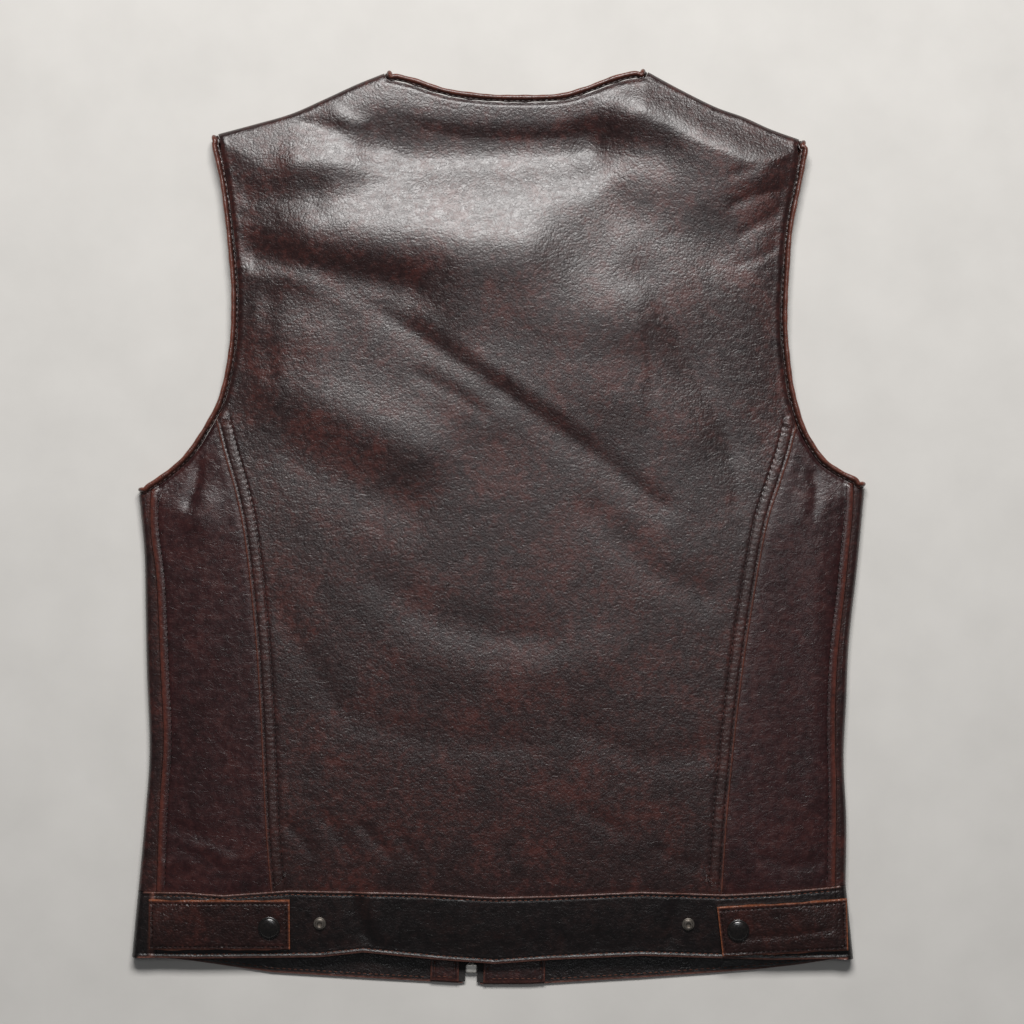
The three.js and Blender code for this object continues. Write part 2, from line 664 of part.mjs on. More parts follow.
function snap({ name, x, y, on_tab }) {
  const seat = on_tab ? tab_middle + tab_leather / 2 : band_step + band_leather / 2;
  const mesh = new THREE.Mesh(on_tab ? cap_geometry() : stud_geometry(), on_tab ? cap_metal : stud_metal);
  mesh.name = name;
  // the lathe turns round Y, so its Y is brought onto the cloth's normal
  const normal = surface_normal(x, y);
  mesh.quaternion.setFromUnitVectors(new THREE.Vector3(0, 1, 0), normal);
  mesh.position.set(x, y, top_height(x, y) + seat).addScaledVector(normal, snap_clearance);
  return mesh;
}

// Zip hardware
const slider_middle = tape_middle + front_lift;

function solid(made) {
  const flat = made.index ? made.toNonIndexed() : made;
  const found = new Map();
  const corners = [];
  const triangles = [];
  const position = flat.getAttribute('position');
  for (let k = 0; k < position.count; k += 1) {
    const key = [position.getX(k), position.getY(k), position.getZ(k)].map((value) => value.toFixed(4)).join(' ');
    if (!found.has(key)) {
      found.set(key, corners.length / 3);
      corners.push(position.getX(k), position.getY(k), position.getZ(k));
    }
    triangles.push(found.get(key));
  }
  return new wasm.Manifold(new wasm.Mesh({
    numProp: 3, vertProperties: new Float32Array(corners), triVerts: new Uint32Array(triangles) }));
}

function from_solid(made) {
  const mesh = made.getMesh();
  return geometry(Array.from(mesh.vertProperties), Array.from(mesh.triVerts));
}

function block(x_size, y_size, z_size, x, y, z) {
  return solid(new THREE.BoxGeometry(x_size, y_size, z_size).translate(x, y, z));
}

function zip_slider() {
  const middle_x = zip_x(bridge.y);
  const middle_y = slider.head - slider.length / 2;
  const wing_height = chain.thick / 2 + seam_gap + slider.wing / 2;
  const face = slider_middle - chain.thick / 2 - seam_gap - slider.wing;
  const roof = face - bridge.height + bridge.roof / 2;
  const leg_y = bridge.half_length - bridge.leg / 2;
  const deep = 0.4;
  const pieces = [
    block(slider.width, slider.length, slider.wing, middle_x, middle_y, slider_middle + wing_height),
    block(slider.width, slider.length, slider.wing, middle_x, middle_y, slider_middle - wing_height),
    block(slider.post, slider.post, 2 * wing_height, middle_x, slider.head - slider.post / 2, slider_middle),
    block(bridge.width, 2 * bridge.half_length, bridge.roof, middle_x, bridge.y, roof),
    ...[-leg_y, leg_y].map((y) => block(bridge.width, bridge.leg, bridge.height + deep,
      middle_x, bridge.y + y, face + deep - (bridge.height + deep) / 2)),
  ];
  return from_solid(pieces.reduce((whole, piece) => whole.add(piece)));
}

function zip_pull() {
  const plate = new THREE.Shape();
  const half = pull.width / 2;
  const top = pull.bar / 2;
  plate.moveTo(-half, top);
  plate.lineTo(-half, top - pull.length + half);
  plate.absarc(0, top - pull.length + half, half, Math.PI, 2 * Math.PI, false);
  plate.lineTo(half, top);
  const eye = new THREE.Path();
  const eye_half = pull.eye_width / 2;
  eye.moveTo(-eye_half, -top);
  eye.lineTo(eye_half, -top);
  eye.lineTo(eye_half, -top - pull.eye_length);
  eye.lineTo(-eye_half, -top - pull.eye_length);
  plate.holes.push(eye);
  const made = new THREE.ExtrudeGeometry(plate, { depth: pull.thick, bevelEnabled: false, curveSegments: 8 });
  return made.translate(0, 0, -pull.thick / 2);
}

// Materials
function matter(name, color, roughness, metalness = 0) {
  return new THREE.MeshStandardMaterial({ name, color, roughness, metalness });
}

const body_leather = matter('waxed brown leather', '#33211d', 0.5);
const side_leather = matter('waxed oxblood leather', '#381c19', 0.45);
const waist_leather = matter('waxed black-brown leather', '#1e1715', 0.5);
const rolled_leather = matter('rubbed edge leather', '#5a2c22', 0.5);
const strap_leather = matter('tab leather', '#3a211c', 0.5);
const zip_cloth = matter('black zip tape', '#101010', 0.9);
const zip_metal = matter('dark zip metal', '#3a3a3a', 0.4, 1);
const box_metal = matter('bright nickel', '#b9b9b4', 0.3, 1);
const cap_metal = matter('black lacquered snap', '#14110f', 0.25, 0.4);
const stud_metal = matter('dark snap stud', '#3b332e', 0.35, 0.9);

// The vest
const vest = new THREE.Group();
vest.position.set(origin_shift.x, origin_shift.y, 0);

function add(name, made, material) {
  const mesh = new THREE.Mesh(made, material);
  mesh.name = name;
  vest.add(mesh);
  return mesh;
}

add('back', back(), body_leather);
add('back_waistband', back_waistband(), waist_leather);
add('neck_binding', neck_binding(), rolled_leather);
for (const side of sides) {
  add(`side_panel_${side}`, side_panel(side), side_leather);
  add(`front_${side}`, front(side), body_leather);
  add(`front_waistband_${side}`, front_waistband(side), waist_leather);
  add(`front_facing_${side}`, front_facing(side), body_leather);
  add(`armhole_binding_${side}`, armhole_binding(side), rolled_leather);
  add(`tab_${side}`, tab(side), strap_leather);
  add(`zip_tape_${side}`, zip_tape(side), zip_cloth);
}
add('zip_chain', zip_chain(), zip_metal);
add('zip_box', new THREE.BoxGeometry(zip_box_size.x, zip_box_size.y, zip_box_size.z), box_metal)
  .position.set(zip_foot.x, zip_foot.y + zip_box_size.y / 2, tape_middle);
add('zip_slider', zip_slider(), zip_metal);
add('zip_pull', zip_pull(), zip_metal)
  .position.set(zip_x(bridge.y), bridge.y, slider_middle - chain.thick / 2 - seam_gap - slider.wing - pull.drop);
for (const place of snap_places) vest.add(snap(place));

export default vest;
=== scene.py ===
"""Leather vest laid flat, face down, its back up: the finished shape and looks of every piece.

Lengths here are millimetres on the vest until a mesh is made, and metres after that.
+X is the wearer's right, +Y runs from hem to neck, +Z is up from the surface.
"""
import math
import bpy
import numpy as np
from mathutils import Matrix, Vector


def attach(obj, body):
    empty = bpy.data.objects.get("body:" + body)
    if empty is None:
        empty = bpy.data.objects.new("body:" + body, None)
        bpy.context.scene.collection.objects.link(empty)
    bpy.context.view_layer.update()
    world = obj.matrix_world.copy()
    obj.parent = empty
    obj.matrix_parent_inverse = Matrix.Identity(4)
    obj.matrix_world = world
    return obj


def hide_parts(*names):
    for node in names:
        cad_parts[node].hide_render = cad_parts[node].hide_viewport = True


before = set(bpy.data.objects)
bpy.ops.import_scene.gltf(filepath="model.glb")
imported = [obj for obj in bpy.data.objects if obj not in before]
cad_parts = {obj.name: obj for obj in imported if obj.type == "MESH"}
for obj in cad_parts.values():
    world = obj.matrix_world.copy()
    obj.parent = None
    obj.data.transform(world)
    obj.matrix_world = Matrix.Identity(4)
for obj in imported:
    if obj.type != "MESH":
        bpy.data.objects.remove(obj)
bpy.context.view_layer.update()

MM = 0.001
origin_shift = np.array([0.8, 0.6, 0.0])

# Thicknesses and gaps
leather_thick = 1.6
band_thick = 2.4
tab_thick = 3.2
tape_thick = 0.8
seam_gap = 0.3
tab_gap = 0.7
binding_step = 3.2
band_step = 0.9

# Shape of the worn-in cloth
fold_height = 12.0
body_rise = 8.0
body_fall = 45.0
fold_inset = 5.4
turn_reach = fold_inset - leather_thick / 2
bead_reach = 3.8
bead_middle = 2.4
shoulder_under = 10.0
front_lift = 3.2
front_lift_reach = (60.0, 90.0)

# Stitching
stitch_pitch = 4.3
stitch_length = 3.1
thread_thick = 0.62
first_row = 2.7
second_row = 10.4
between_rows = 6.5
side_row = 6.2
band_row = 3.0
facing_row = 3.0
tab_row = 2.6
tab_stitch_pitch = 3.6
tab_stitch_length = 2.7
band_thread_ends = (-251.0, 246.0)
hem_thread_end = {"left": -262.0, "right": 251.0}

# Zip
zip_foot = (-21.4, -331.0)
zip_head = (-10.6, 104.0)
front_to_zip = 6.5
facing_to_zip = 9.2
facing_width = {"left": 21.0, "right": 45.6}
facing_top = 105.0
facing_foot = -340.0
hem_turn = 1.5
tape_span = (0.6, 14.0)
tape_beside_box = 4.4
box_passed = 7.0
tape_reach = (-338.5, 110.0)
tape_middle = band_thick + seam_gap + tape_thick / 2
tooth_pitch = 2.9
teeth_from, teeth_to = zip_foot[1] + 7.2, 101.5
slider_y = 98.0

outward = {"left": -1.0, "right": 1.0}
sides = ("left", "right")
up_way = np.array([0.0, 0.0, 1.0])

# Outlines in plan, [x, y]. Rims are the outer edge of the binding.
shoulder_fold = {
    "left": [[-209, 291.5], [-181, 299], [-155, 306.5], [-131, 317], [-106, 328.5], [-86, 336.5]],
    "right": [[222, 287.5], [201, 295], [181, 304], [159, 312], [131, 326], [110, 337.5]],
}
armhole_rim = {
    "left": [[-215, 290], [-207, 253], [-202, 212], [-199, 170], [-201, 130], [-208, 97], [-215, 82],
             [-230, 58], [-244, 44], [-261, 32], [-271, 28]],
    "right": [[229, 286], [224, 257], [217, 222], [214, 184], [213, 148], [217, 108], [225, 77],
              [238, 54], [250, 44], [264, 36.5], [273, 32]],
}
rim_at_princess = 6
rim_at_side_seam = 9
side_fold = {
    "left": [[-268.3, -269.3], [-263, -211], [-260, -165], [-262, -107], [-263, -58], [-264, -17],
             [-268, 24]],
    "right": [[256.5, -264.8], [257, -217], [255, -172], [257, -128], [259, -84], [265, -30],
              [270.5, 28]],
}
band_fold = {
    "left": [[-268.3, -269.6], [-272, -291], [-273, -318]],
    "right": [[256.5, -265.1], [260, -291], [262, -319]],
}
side_seam = {
    "left": [[-254, -270], [-252, -209], [-249, -158], [-251, -107], [-254, -41], [-258, -9], [-259, 10]],
    "right": [[248, -266], [249, -200], [248, -145], [250, -95], [255, -50], [259, -10], [261, 10]],
}
princess_seam = {
    "left": [[-169, -270], [-173, -220], [-177, -134], [-181, -75], [-188, -12], [-195, 24], [-204, 55]],
    "right": [[164, -270], [168, -210], [175, -140], [183, -80], [196, -4], [207, 32], [214, 53]],
}
neck_edge = [[-66, 327.3], [-48, 321.2], [-30, 317.2], [0, 314.4], [42, 315], [63, 320.2],
             [82, 327.3], [96, 331.3]]
front_neck_edge = {
    "left": [[-17.1, 112], [-38, 165], [-58, 220], [-72, 270]],
    "right": [[-3.9, 112], [22, 165], [52, 220], [80, 275]],
}
front_armhole_edge = {
    "left": [[-245, 33], [-222, 52], [-205, 78], [-193, 106], [-188, 150], [-189, 205]],
    "right": [[247, 36], [231, 54], [217, 78], [206, 106], [202, 150], [205, 205]],
}
band_top = [[-269, -269.5], [-232, -269.5], [-204, -271.5], [-155, -268], [-61, -270], [-4, -273],
            [38, -272], [104, -269], [167, -271], [203, -269], [245, -266], [257, -264.8]]
band_foot = [[-273, -318], [-225, -319], [-133, -318], [-101, -314.5], [-45, -320], [-4, -323],
             [38, -320], [104, -317], [203, -320], [262, -319]]
band_pipe = [[-256.5, -269], [-258, -319]]
front_band_top = [[-273, -269.5], [-21, -271], [262, -264.9]]
front_hem = [[-273, -318], [-228, -322.5], [-169, -331], [-84, -336], [-12, -340], [21, -340],
             [104, -335], [189, -329], [224, -325], [262, -319]]
tab_corners = {
    "left": {"foot": [[-259, -312], [-155, -312]], "head": [[-259, -275], [-155, -275]]},
    "right": {"foot": [[164.5, -317], [257, -312.5]], "head": [[160, -280], [256, -274.5]]},
}

# Large folds: name, from, to, half width, up
large_folds = [
    ("yoke ridge", (-138, 212), (16, 206), 27, 5.2),
    ("trough under the neck", (-84, 276), (60, 278), 26, -7.2),
    ("right neck trough", (74, 286), (116, 278), 20, -3.2),
    ("left shoulder ridge", (-150, 268), (-88, 266), 13, 2.6),
    ("left shoulder trough", (-186, 244), (-140, 242), 13, -1.6),
    ("left blade trough", (-190, 204), (-66, 176), 13, -2.4),
    ("left blade swell", (-190, 150), (-140, 138), 22, 2.0),
    ("middle blade swell", (-20, 166), (96, 158), 30, 3.0),
    ("slope under the yoke", (-24, 190), (40, 188), 22, 1.2),
    ("middle rib swell", (-10, 108), (60, 104), 34, 2.6),
    ("left rib swell", (-160, 104), (-62, 60), 24, 3.0),
    ("left rib trough", (-150, 52), (-70, 14), 20, -1.2),
    ("long crease, upper", (-84, 158), (0, 100), 12, -1.1),
    ("long crease, lower", (0, 100), (118, 16), 11, -0.9),
    ("right shoulder ridge", (100, 312), (206, 270), 26, 5.4),
    ("right shoulder trough", (92, 236), (160, 210), 24, -2.8),
    ("right blade swell", (50, 150), (120, 150), 30, 1.2),
    ("right blade crease", (107, 186), (170, 57), 13, -1.1),
    ("right rib swell", (104, 96), (140, 78), 24, 1.2),
]

# Smaller creases of the back, each a soft line: name, path, half width, up (less than 0 is a trough)
small_creases = [
    ("sharp line of the long crease",
     [(-110, 172), (-67, 146), (-30, 122), (0, 101), (63, 59), (118, 16)], 4.5, -0.4),
    ("lip above the long crease", [(-60, 156), (6, 110), (66, 70)], 6.0, 0.5),
    ("short crease under it", [(-59, 112), (-36, 100), (-11, 84)], 6.0, -0.7),
    ("upright streak by the left armhole", [(-170, 168), (-172, 140), (-170, 112)], 7.0, -0.9),
    ("ridge from the left armhole", [(-192, 186), (-165, 186), (-140, 180)], 8.0, 1.0),
    ("right blade line", [(89, 246), (107, 186), (144, 116), (170, 57), (174, 16)], 5.0, -0.35),
    ("faint upright line", [(109, 146), (112, 108), (111, 72)], 3.5, -0.25),
    ("left shoulder ripple 1", [(-150, 304), (-132, 296), (-118, 292)], 5.0, -1.0),
    ("left shoulder ripple 2", [(-128, 312), (-112, 300), (-100, 298)], 4.4, 0.9),
    ("armhole pucker 1", [(209, 268), (192, 265), (174, 260)], 3.6, -0.7),
    ("armhole pucker 2", [(207, 249), (190, 245), (172, 238)], 3.4, -0.7),
    ("armhole pucker 3", [(204, 231), (192, 225), (178, 216)], 3.8, -0.7),
    ("armhole pucker 4", [(202, 205), (190, 199), (176, 194)], 3.4, -0.5),
    ("left armhole pucker", [(-197, 232), (-182, 228), (-168, 230)], 3.6, -0.5),
    ("underarm streak, left", [(-223, 45), (-225, 32), (-230, 18)], 4.4, -1.6),
    ("underarm swell, left", [(-216, 18), (-222, 4)], 9.0, 1.3),
    ("underarm streak, right", [(232, 38), (234, 24), (231, 10)], 4.0, -1.0),
    ("waist ripple 1", [(-158, -219), (-147, -228), (-139, -240)], 4.6, -0.7),
    ("waist ripple 2", [(-130, -214), (-120, -226), (-113, -239)], 5.2, -0.6),
    ("waist ripple 3", [(-101, -221), (-93, -230), (-84, -240)], 4.2, -0.7),
    ("waist ripple 4", [(-76, -224), (-66, -241)], 4.0, -0.5),
    ("waist ripple 5", [(60, -210), (74, -217), (88, -224)], 5.0, -0.5),
    ("waist ripple 6", [(118, -238), (131, -246), (150, -250)], 4.4, -0.4),
    ("left waist fold 1", [(-247, -250), (-238, -246), (-228, -248)], 4.0, 0.8),
    ("left waist fold 2", [(-228, -236), (-214, -238), (-200, -246)], 4.0, 0.7),
    ("left waist fold 3", [(-240, -222), (-222, -226)], 5.0, -0.6),
    ("right waist fold", [(196, -244), (214, -250), (234, -248)], 4.4, -0.6),
    ("middle back, long soft trough", [(-90, -40), (-40, -70), (30, -82)], 14.0, -0.7),
    ("middle back swell", [(-60, -96), (0, -110), (70, -100)], 22.0, 0.9),
    ("lower back soft trough", [(-110, -140), (-50, -158), (20, -160)], 13.0, -0.6),
    ("right rib trough", [(70, 10), (110, -30), (150, -50)], 13.0, -0.8),
    ("right waist soft trough", [(60, -150), (110, -170), (150, -165)], 12.0, -0.6),
    ("left waist soft trough", [(-165, -60), (-140, -100), (-120, -130)], 11.0, -0.6),
    ("swell along the right side seam", [(238, -20), (236, -110), (238, -200)], 12.0, 0.9),
]

# Creases of the waistband and tabs
band_creases = [
    ("left fold of the band", [(-110, -270), (-104, -290), (-95, -316)], 6.0, -1.7),
    ("its lip", [(-98, -270), (-92, -290), (-84, -312)], 6.0, 0.9),
    ("fold by the right stud", [(134, -272), (129, -290), (125, -316)], 5.0, -1.3),
    ("foot pucker 1", [(-2, -306), (1, -322)], 4.0, -0.7),
    ("foot pucker 2", [(22, -304), (25, -321)], 4.4, -0.8),
    ("foot pucker 3", [(47, -306), (48, -320)], 3.8, -0.6),
    ("foot pucker 4", [(72, -303), (70, -319)], 4.2, -0.8),
    ("foot pucker 5", [(99, -305), (97, -318)], 4.0, -0.6),
    ("foot pucker 6", [(-32, -306), (-35, -321)], 4.0, -0.5),
    ("foot pucker 7", [(-62, -304), (-66, -319)], 4.4, -0.6),
]
tab_creases = [
    ("crease along the right tab", [(181, -303), (212, -301), (244, -297)], 2.6, -0.7),
    ("bend of the right tab", [(205, -278), (210, -300), (208, -314)], 9.0, 0.5),
    ("bend of the left tab", [(-214, -276), (-218, -296), (-214, -311)], 9.0, 0.5),
]

# Creases of the fronts, hidden under the vest: here the cloth stands off the surface
front_creases = [
    ("left front, chest", [(-160, 140), (-120, 110), (-70, 95)], 11.0, 1.3),
    ("left front, rib", [(-230, 0), (-180, -30), (-130, -40)], 10.0, 1.1),
    ("left front, waist", [(-220, -190), (-160, -215), (-100, -210)], 9.0, 1.0),
    ("left front, hip", [(-120, -120), (-90, -150), (-60, -160)], 7.0, 0.7),
    ("right front, chest", [(70, 100), (120, 125), (175, 160)], 11.0, 1.2),
    ("right front, rib", [(100, -20), (160, -40), (225, -20)], 12.0, 1.3),
    ("right front, waist", [(60, -200), (130, -225), (210, -205)], 8.0, 1.0),
    ("right front, side", [(180, -110), (215, -135), (235, -150)], 7.0, 0.8),
]


# Curves in plan, all as whole arrays

def spline_at(points, places):
    """Catmull-Rom curve: at each place, a cubic through the four points around it."""
    p = np.asarray(points, float)
    last = len(p) - 1
    place = np.clip(np.asarray(places, float), 0, last)
    first = np.minimum(place.astype(int), last - 1)
    t = (place - first)[:, None]
    a, b = p[np.maximum(first - 1, 0)], p[first]
    c, d = p[first + 1], p[np.minimum(first + 2, last)]
    v0, v1 = (c - a) / 2, (d - b) / 2
    return (2 * b - 2 * c + v0 + v1) * t ** 3 + (-3 * b + 3 * c - 2 * v0 - v1) * t ** 2 + v0 * t + b


def stretch(points, first, last, shares):
    """The curve from one of its points to another, at shares of the way by point number."""
    return spline_at(points, first + (last - first) * np.asarray(shares, float))


def on_curve(points, shares):
    """The curve at shares of its length, 0 to 1."""
    dense = spline_at(points, np.linspace(0, len(points) - 1, 60 * (len(points) - 1) + 1))
    length = np.concatenate([[0], np.cumsum(np.linalg.norm(np.diff(dense, axis=0), axis=1))])
    place = np.asarray(shares, float) * length[-1]
    return np.stack([np.interp(place, length, dense[:, k]) for k in range(dense.shape[1])], axis=1)


def even(count):
    """Shares from 0 to 1, in equal steps."""
    return np.linspace(0, 1, count + 1)


def polyline_length(line):
    """Sum of the lengths of a line's straight parts."""
    return float(np.linalg.norm(np.diff(line, axis=0), axis=1).sum())


def moved_sideways(line, distance):
    """Each point is moved to the left of the way the line runs."""
    padded = np.concatenate([line[:1], line, line[-1:]])
    way = padded[2:, :2] - padded[:-2, :2]
    way = way / np.linalg.norm(way, axis=1)[:, None]
    moved = line.copy()
    moved[:, 0] -= way[:, 1] * distance
    moved[:, 1] += way[:, 0] * distance
    return moved


def height_along(table, x):
    """A table's y at each x, in straight lines between its rows."""
    rows = np.asarray(table, float)
    return np.interp(x, rows[:, 0], rows[:, 1])


def zip_x(y):
    """The zip's x at each y: a straight line that leans a little."""
    return zip_foot[0] + (zip_head[0] - zip_foot[0]) * (y - zip_foot[1]) / (zip_head[1] - zip_foot[1])


points_at_once = 20000


def nearest_on(line, x, y):
    """Distance from each point to a polyline, and the length along it to the nearest place."""
    line = np.asarray(line, float)[:, :2]
    keep = np.concatenate([[True], np.linalg.norm(np.diff(line, axis=0), axis=1) > 1e-6])
    line = line[keep]
    start, step = line[:-1], np.diff(line, axis=0)
    size = (step ** 2).sum(1)
    before = np.concatenate([[0], np.cumsum(np.sqrt(size))])[:-1]
    flat_x, flat_y = np.ravel(x), np.ravel(y)
    away, along = np.empty(flat_x.size), np.empty(flat_x.size)
    for low in range(0, flat_x.size, points_at_once):
        part = slice(low, low + points_at_once)
        dx = flat_x[part, None] - start[:, 0]
        dy = flat_y[part, None] - start[:, 1]
        share = np.clip((dx * step[:, 0] + dy * step[:, 1]) / size, 0, 1)
        gap = np.hypot(dx - share * step[:, 0], dy - share * step[:, 1])
        best = gap.argmin(1)
        row = np.arange(best.size)
        away[part] = gap[row, best]
        along[part] = before[best] + share[row, best] * np.sqrt(size[best])
    return away.reshape(np.shape(x)), along.reshape(np.shape(x))


def away_from(line, x, y):
    """Distance from each point to a polyline."""
    return nearest_on(line, x, y)[0]


def bell(value):
    """Smooth bump, 1 in the middle and near 0 at 2."""
    return np.exp(-np.square(value))


# Edges shared by the pieces

def fold_axes(side):
    """across runs from the shoulder point to the neck, over runs out over the shoulder fold."""
    line = np.asarray(shoulder_fold[side], float)
    across = (line[-1] - line[0]) / np.linalg.norm(line[-1] - line[0])
    over = np.array([-across[1], across[0]]) * -outward[side]
    return across, over


def panel_edge(side, first, last, shares):
    """Edge of a panel beside an armhole: the rim, moved in by the binding's width."""
    inward = -outward[side] * (binding_step + bead_middle)
    return moved_sideways(stretch(armhole_rim[side], first, last, shares), inward)


def shoulder_line(side, shares):
    """Where the back starts to turn down: the fold's outer edge, moved in."""
    return on_curve(shoulder_fold[side], shares) - fold_inset * fold_axes(side)[1]


def armhole_edge(side, shares):
    """Edge of the back along the armhole, from the shoulder to the princess seam."""
    line = panel_edge(side, 0, rim_at_princess, even(60))
    corner = shoulder_line(side, [0.0])
    return on_curve(np.concatenate([corner, line[line[:, 1] < corner[0, 1] - 8]]), shares)


def side_armhole_edge(side, shares):
    """Edge of the side panel along the armhole, from the princess seam to the side seam."""
    return on_curve(panel_edge(side, rim_at_princess, rim_at_side_seam, even(40)), shares)


def princess_line(side, shares):
    """The curved back seam, from the waistband to the armhole."""
    top = panel_edge(side, 0, rim_at_princess, even(60))[-1]
    return on_curve(princess_seam[side] + [list(top)], shares)


def side_seam_line(side, shares):
    """The side seam, from the waistband to the armhole."""
    top = panel_edge(side, rim_at_princess, rim_at_side_seam, even(40))[-1]
    return on_curve(side_seam[side] + [list(top)], shares)


def neck_line(shares):
    """Edge of the back along the neck, from one shoulder to the other."""
    ends = [list(shoulder_line(side, [1.0])[0]) for side in sides]
    return on_curve([ends[0]] + neck_edge + [ends[1]], shares)


def outline_loop():
    """The vest's outline in plan, once round: rims, folds, waistband and neck."""
    return np.concatenate([
        stretch(armhole_rim["left"], 0, 10, even(30)), on_curve(side_fold["left"][::-1], even(16)),
        on_curve(band_fold["left"], even(3)), np.asarray(band_foot, float),
        on_curve(band_fold["right"][::-1], even(3)), on_curve(side_fold["right"], even(16)),
        stretch(armhole_rim["right"], 0, 10, even(30))[::-1], on_curve(shoulder_fold["right"], even(8)),
        moved_sideways(on_curve(neck_edge, even(12)), 2 * bead_middle)[::-1],
        on_curve(shoulder_fold["left"][::-1], even(8)), np.asarray([armhole_rim["left"][0]], float)])


outline = outline_loop()


# Heights

def crease_height(creases, x, y):
    """Sum of soft lines: each is a bell across its width that fades at both ends."""
    total = np.zeros(np.shape(x))
    for _, path, half, up in creases:
        total += up * bell(away_from(on_curve(path, even(24)), x, y) / half)
    return total


def top_height(x, y):
    """Middle of the top layer: it rises from every edge, with the large folds on it."""
    inside = np.maximum(away_from(outline, x, y) - fold_inset, 0)
    height = fold_height + body_rise * (1 - np.exp(-inside / body_fall))
    for _, start, end, half, up in large_folds:
        gap = away_from([start, end], x, y)
        height = height + up * bell(gap / half) * np.minimum(1, inside / half)
    return height


def inside_fade(x, y, reach):
    """0 at the outline's folds, and 1 from reach further in."""
    return np.clip((away_from(outline, x, y) - fold_inset) / reach, 0, 1)


def lower_lift(x, y):
    """The fronts' rise off the surface round the top of the zip, where the slider lies under them."""
    away = np.hypot((x - zip_x(y)) / front_lift_reach[0], (y - slider_y) / front_lift_reach[1])
    return np.where(away < 1, front_lift * (1 - np.minimum(away, 1) ** 2) ** 2, 0.0)


# Relief beside an edge: lift, how rubbed it is, the stitches' phase, and how strongly they pucker it

def turned_round(away, radius):
    """How far a turned edge's surface curves down, over its radius."""
    share = np.clip(1 - away / radius, 0, 1)
    return radius * 0.55 * (1 - np.sqrt(1 - np.minimum(share, 0.999) ** 2))


def lapped(away):
    """The back's edge over the side panel: thick, with two rows of stitches sunk in it."""
    lift = 0.7 * bell(away / 11) + 0.2 * bell((away - between_rows) / 2.6)
    lift = lift - 0.5 * bell((away - first_row) / 0.75) - 0.55 * bell((away - second_row) / 0.95)
    between = bell((away - between_rows) / 2.4)
    row = 0.3 * bell((away - first_row) / 1.3) + 0.45 * bell((away - second_row) / 1.5) + 0.3 * between
    return lift - turned_round(away, 1.1), bell((away - 0.2) / 0.85) + 0.08 * between, row


def topped(away):
    """The side panel's edge at the side seam: a soft rubbed ridge and one row of stitches."""
    lift = 0.7 * bell((away - 2.2) / 3.4) - 0.5 * bell((away - side_row) / 0.9)
    row = 0.25 * bell((away - side_row) / 1.7)
    return lift - turned_round(away, 1.4), 0.62 * bell((away - 1.6) / 2.0), row


def under(away):
    """An edge that goes in under its neighbour."""
    return -0.25 * bell(away / 2.5), 0.12 * bell(away / 1.5), 0.15 * bell(away / 4)


def bound(away):
    """An edge that goes into a binding, with the binding's stitches beside it."""
    lift = -0.8 * bell((away - 0.2) / 1.3) + 0.2 * bell((away - 3.6) / 2.0)
    return lift, 0 * away, 0.2 * bell((away - 1.6) / 2.2)


def banded(away):
    """The waistband's stitched edge."""
    from_row = away - band_row
    lift = 0.25 * bell(away / 3) - 0.45 * bell(from_row / 0.8)
    return lift - turned_round(away, 1.1), 0.85 * bell((away - 0.1) / 0.8), 0.2 * bell(from_row / 1.8)


def piped(away):
    """The side seam's rubbed ridge, where it runs on through the waistband."""
    return 0.35 * bell(away / 1.8), 0.7 * bell(away / 1.6), 0 * away


def plain_end(away):
    """A cut edge, hardly rubbed."""
    return -turned_round(away, 0.8), 0.3 * bell(away / 0.8), 0 * away


def edge_relief(plan, edges):
    """Lift beside the edges, each a line and its kind, and the marks that the leather's material reads."""
    x, y = plan[..., 0], plan[..., 1]
    lift, rub, phase, row = (np.zeros(np.shape(x)) for _ in range(4))
    nearest = np.full(np.shape(x), np.inf)
    for line, kind in edges:
        away, along = nearest_on(line, x, y)
        up, worn, puckered = kind(away)
        lift = lift + up
        rub = np.maximum(rub, worn)
        phase = np.where(away < nearest, along * 2 * math.pi / stitch_pitch, phase)
        row = np.maximum(row, puckered)
        nearest = np.minimum(nearest, away)
    return lift, {"rub": rub, "phase": phase, "row": row}


crease_fade = 8.0
dense = even(160)
edges_of = {
    "back": [(princess_line(side, dense), lapped) for side in sides]
    + [(armhole_edge(side, dense), bound) for side in sides]
    + [(neck_line(dense), bound), (band_top, under)],
    "waistband": [(band_top, banded), (band_foot, banded), (band_pipe, piped)],
}
for seam_side in sides:
    edges_of["side " + seam_side] = [
        (princess_line(seam_side, dense), under), (side_seam_line(seam_side, dense), topped),
        (side_armhole_edge(seam_side, dense), bound), (band_top, under)]
    edges_of["front " + seam_side] = [(side_seam_line(seam_side, dense), under)]


def surface_of(panel, plan):
    """Height of a panel of the top layer, with its creases and the relief beside its edges."""
    lift, marks = edge_relief(plan, edges_of[panel])
    x, y = plan[..., 0], plan[..., 1]
    creases, step = (band_creases, band_step) if panel == "waistband" else (small_creases, 0.0)
    height = top_height(x, y) + step + lift + crease_height(creases, x, y) * inside_fade(x, y, crease_fade)
    return height, marks


# Meshes

collection = bpy.context.scene.collection


def linear(hexed):
    """sRGB hex to the linear colour that a shader wants."""
    value = np.array([int(hexed[k:k + 2], 16) for k in (1, 3, 5)]) / 255
    return (*np.where(value <= 0.04045, value / 12.92, ((value + 0.055) / 1.055) ** 2.4), 1.0)


def signed_volume(points, faces):
    """Six times the volume that the faces enclose, more than 0 where they look outwards."""
    corner = [points[faces[:, k]] for k in range(faces.shape[1])]
    return sum(np.einsum("ij,ij->", corner[0], np.cross(corner[k], corner[k + 1]))
               for k in range(1, len(corner) - 1))


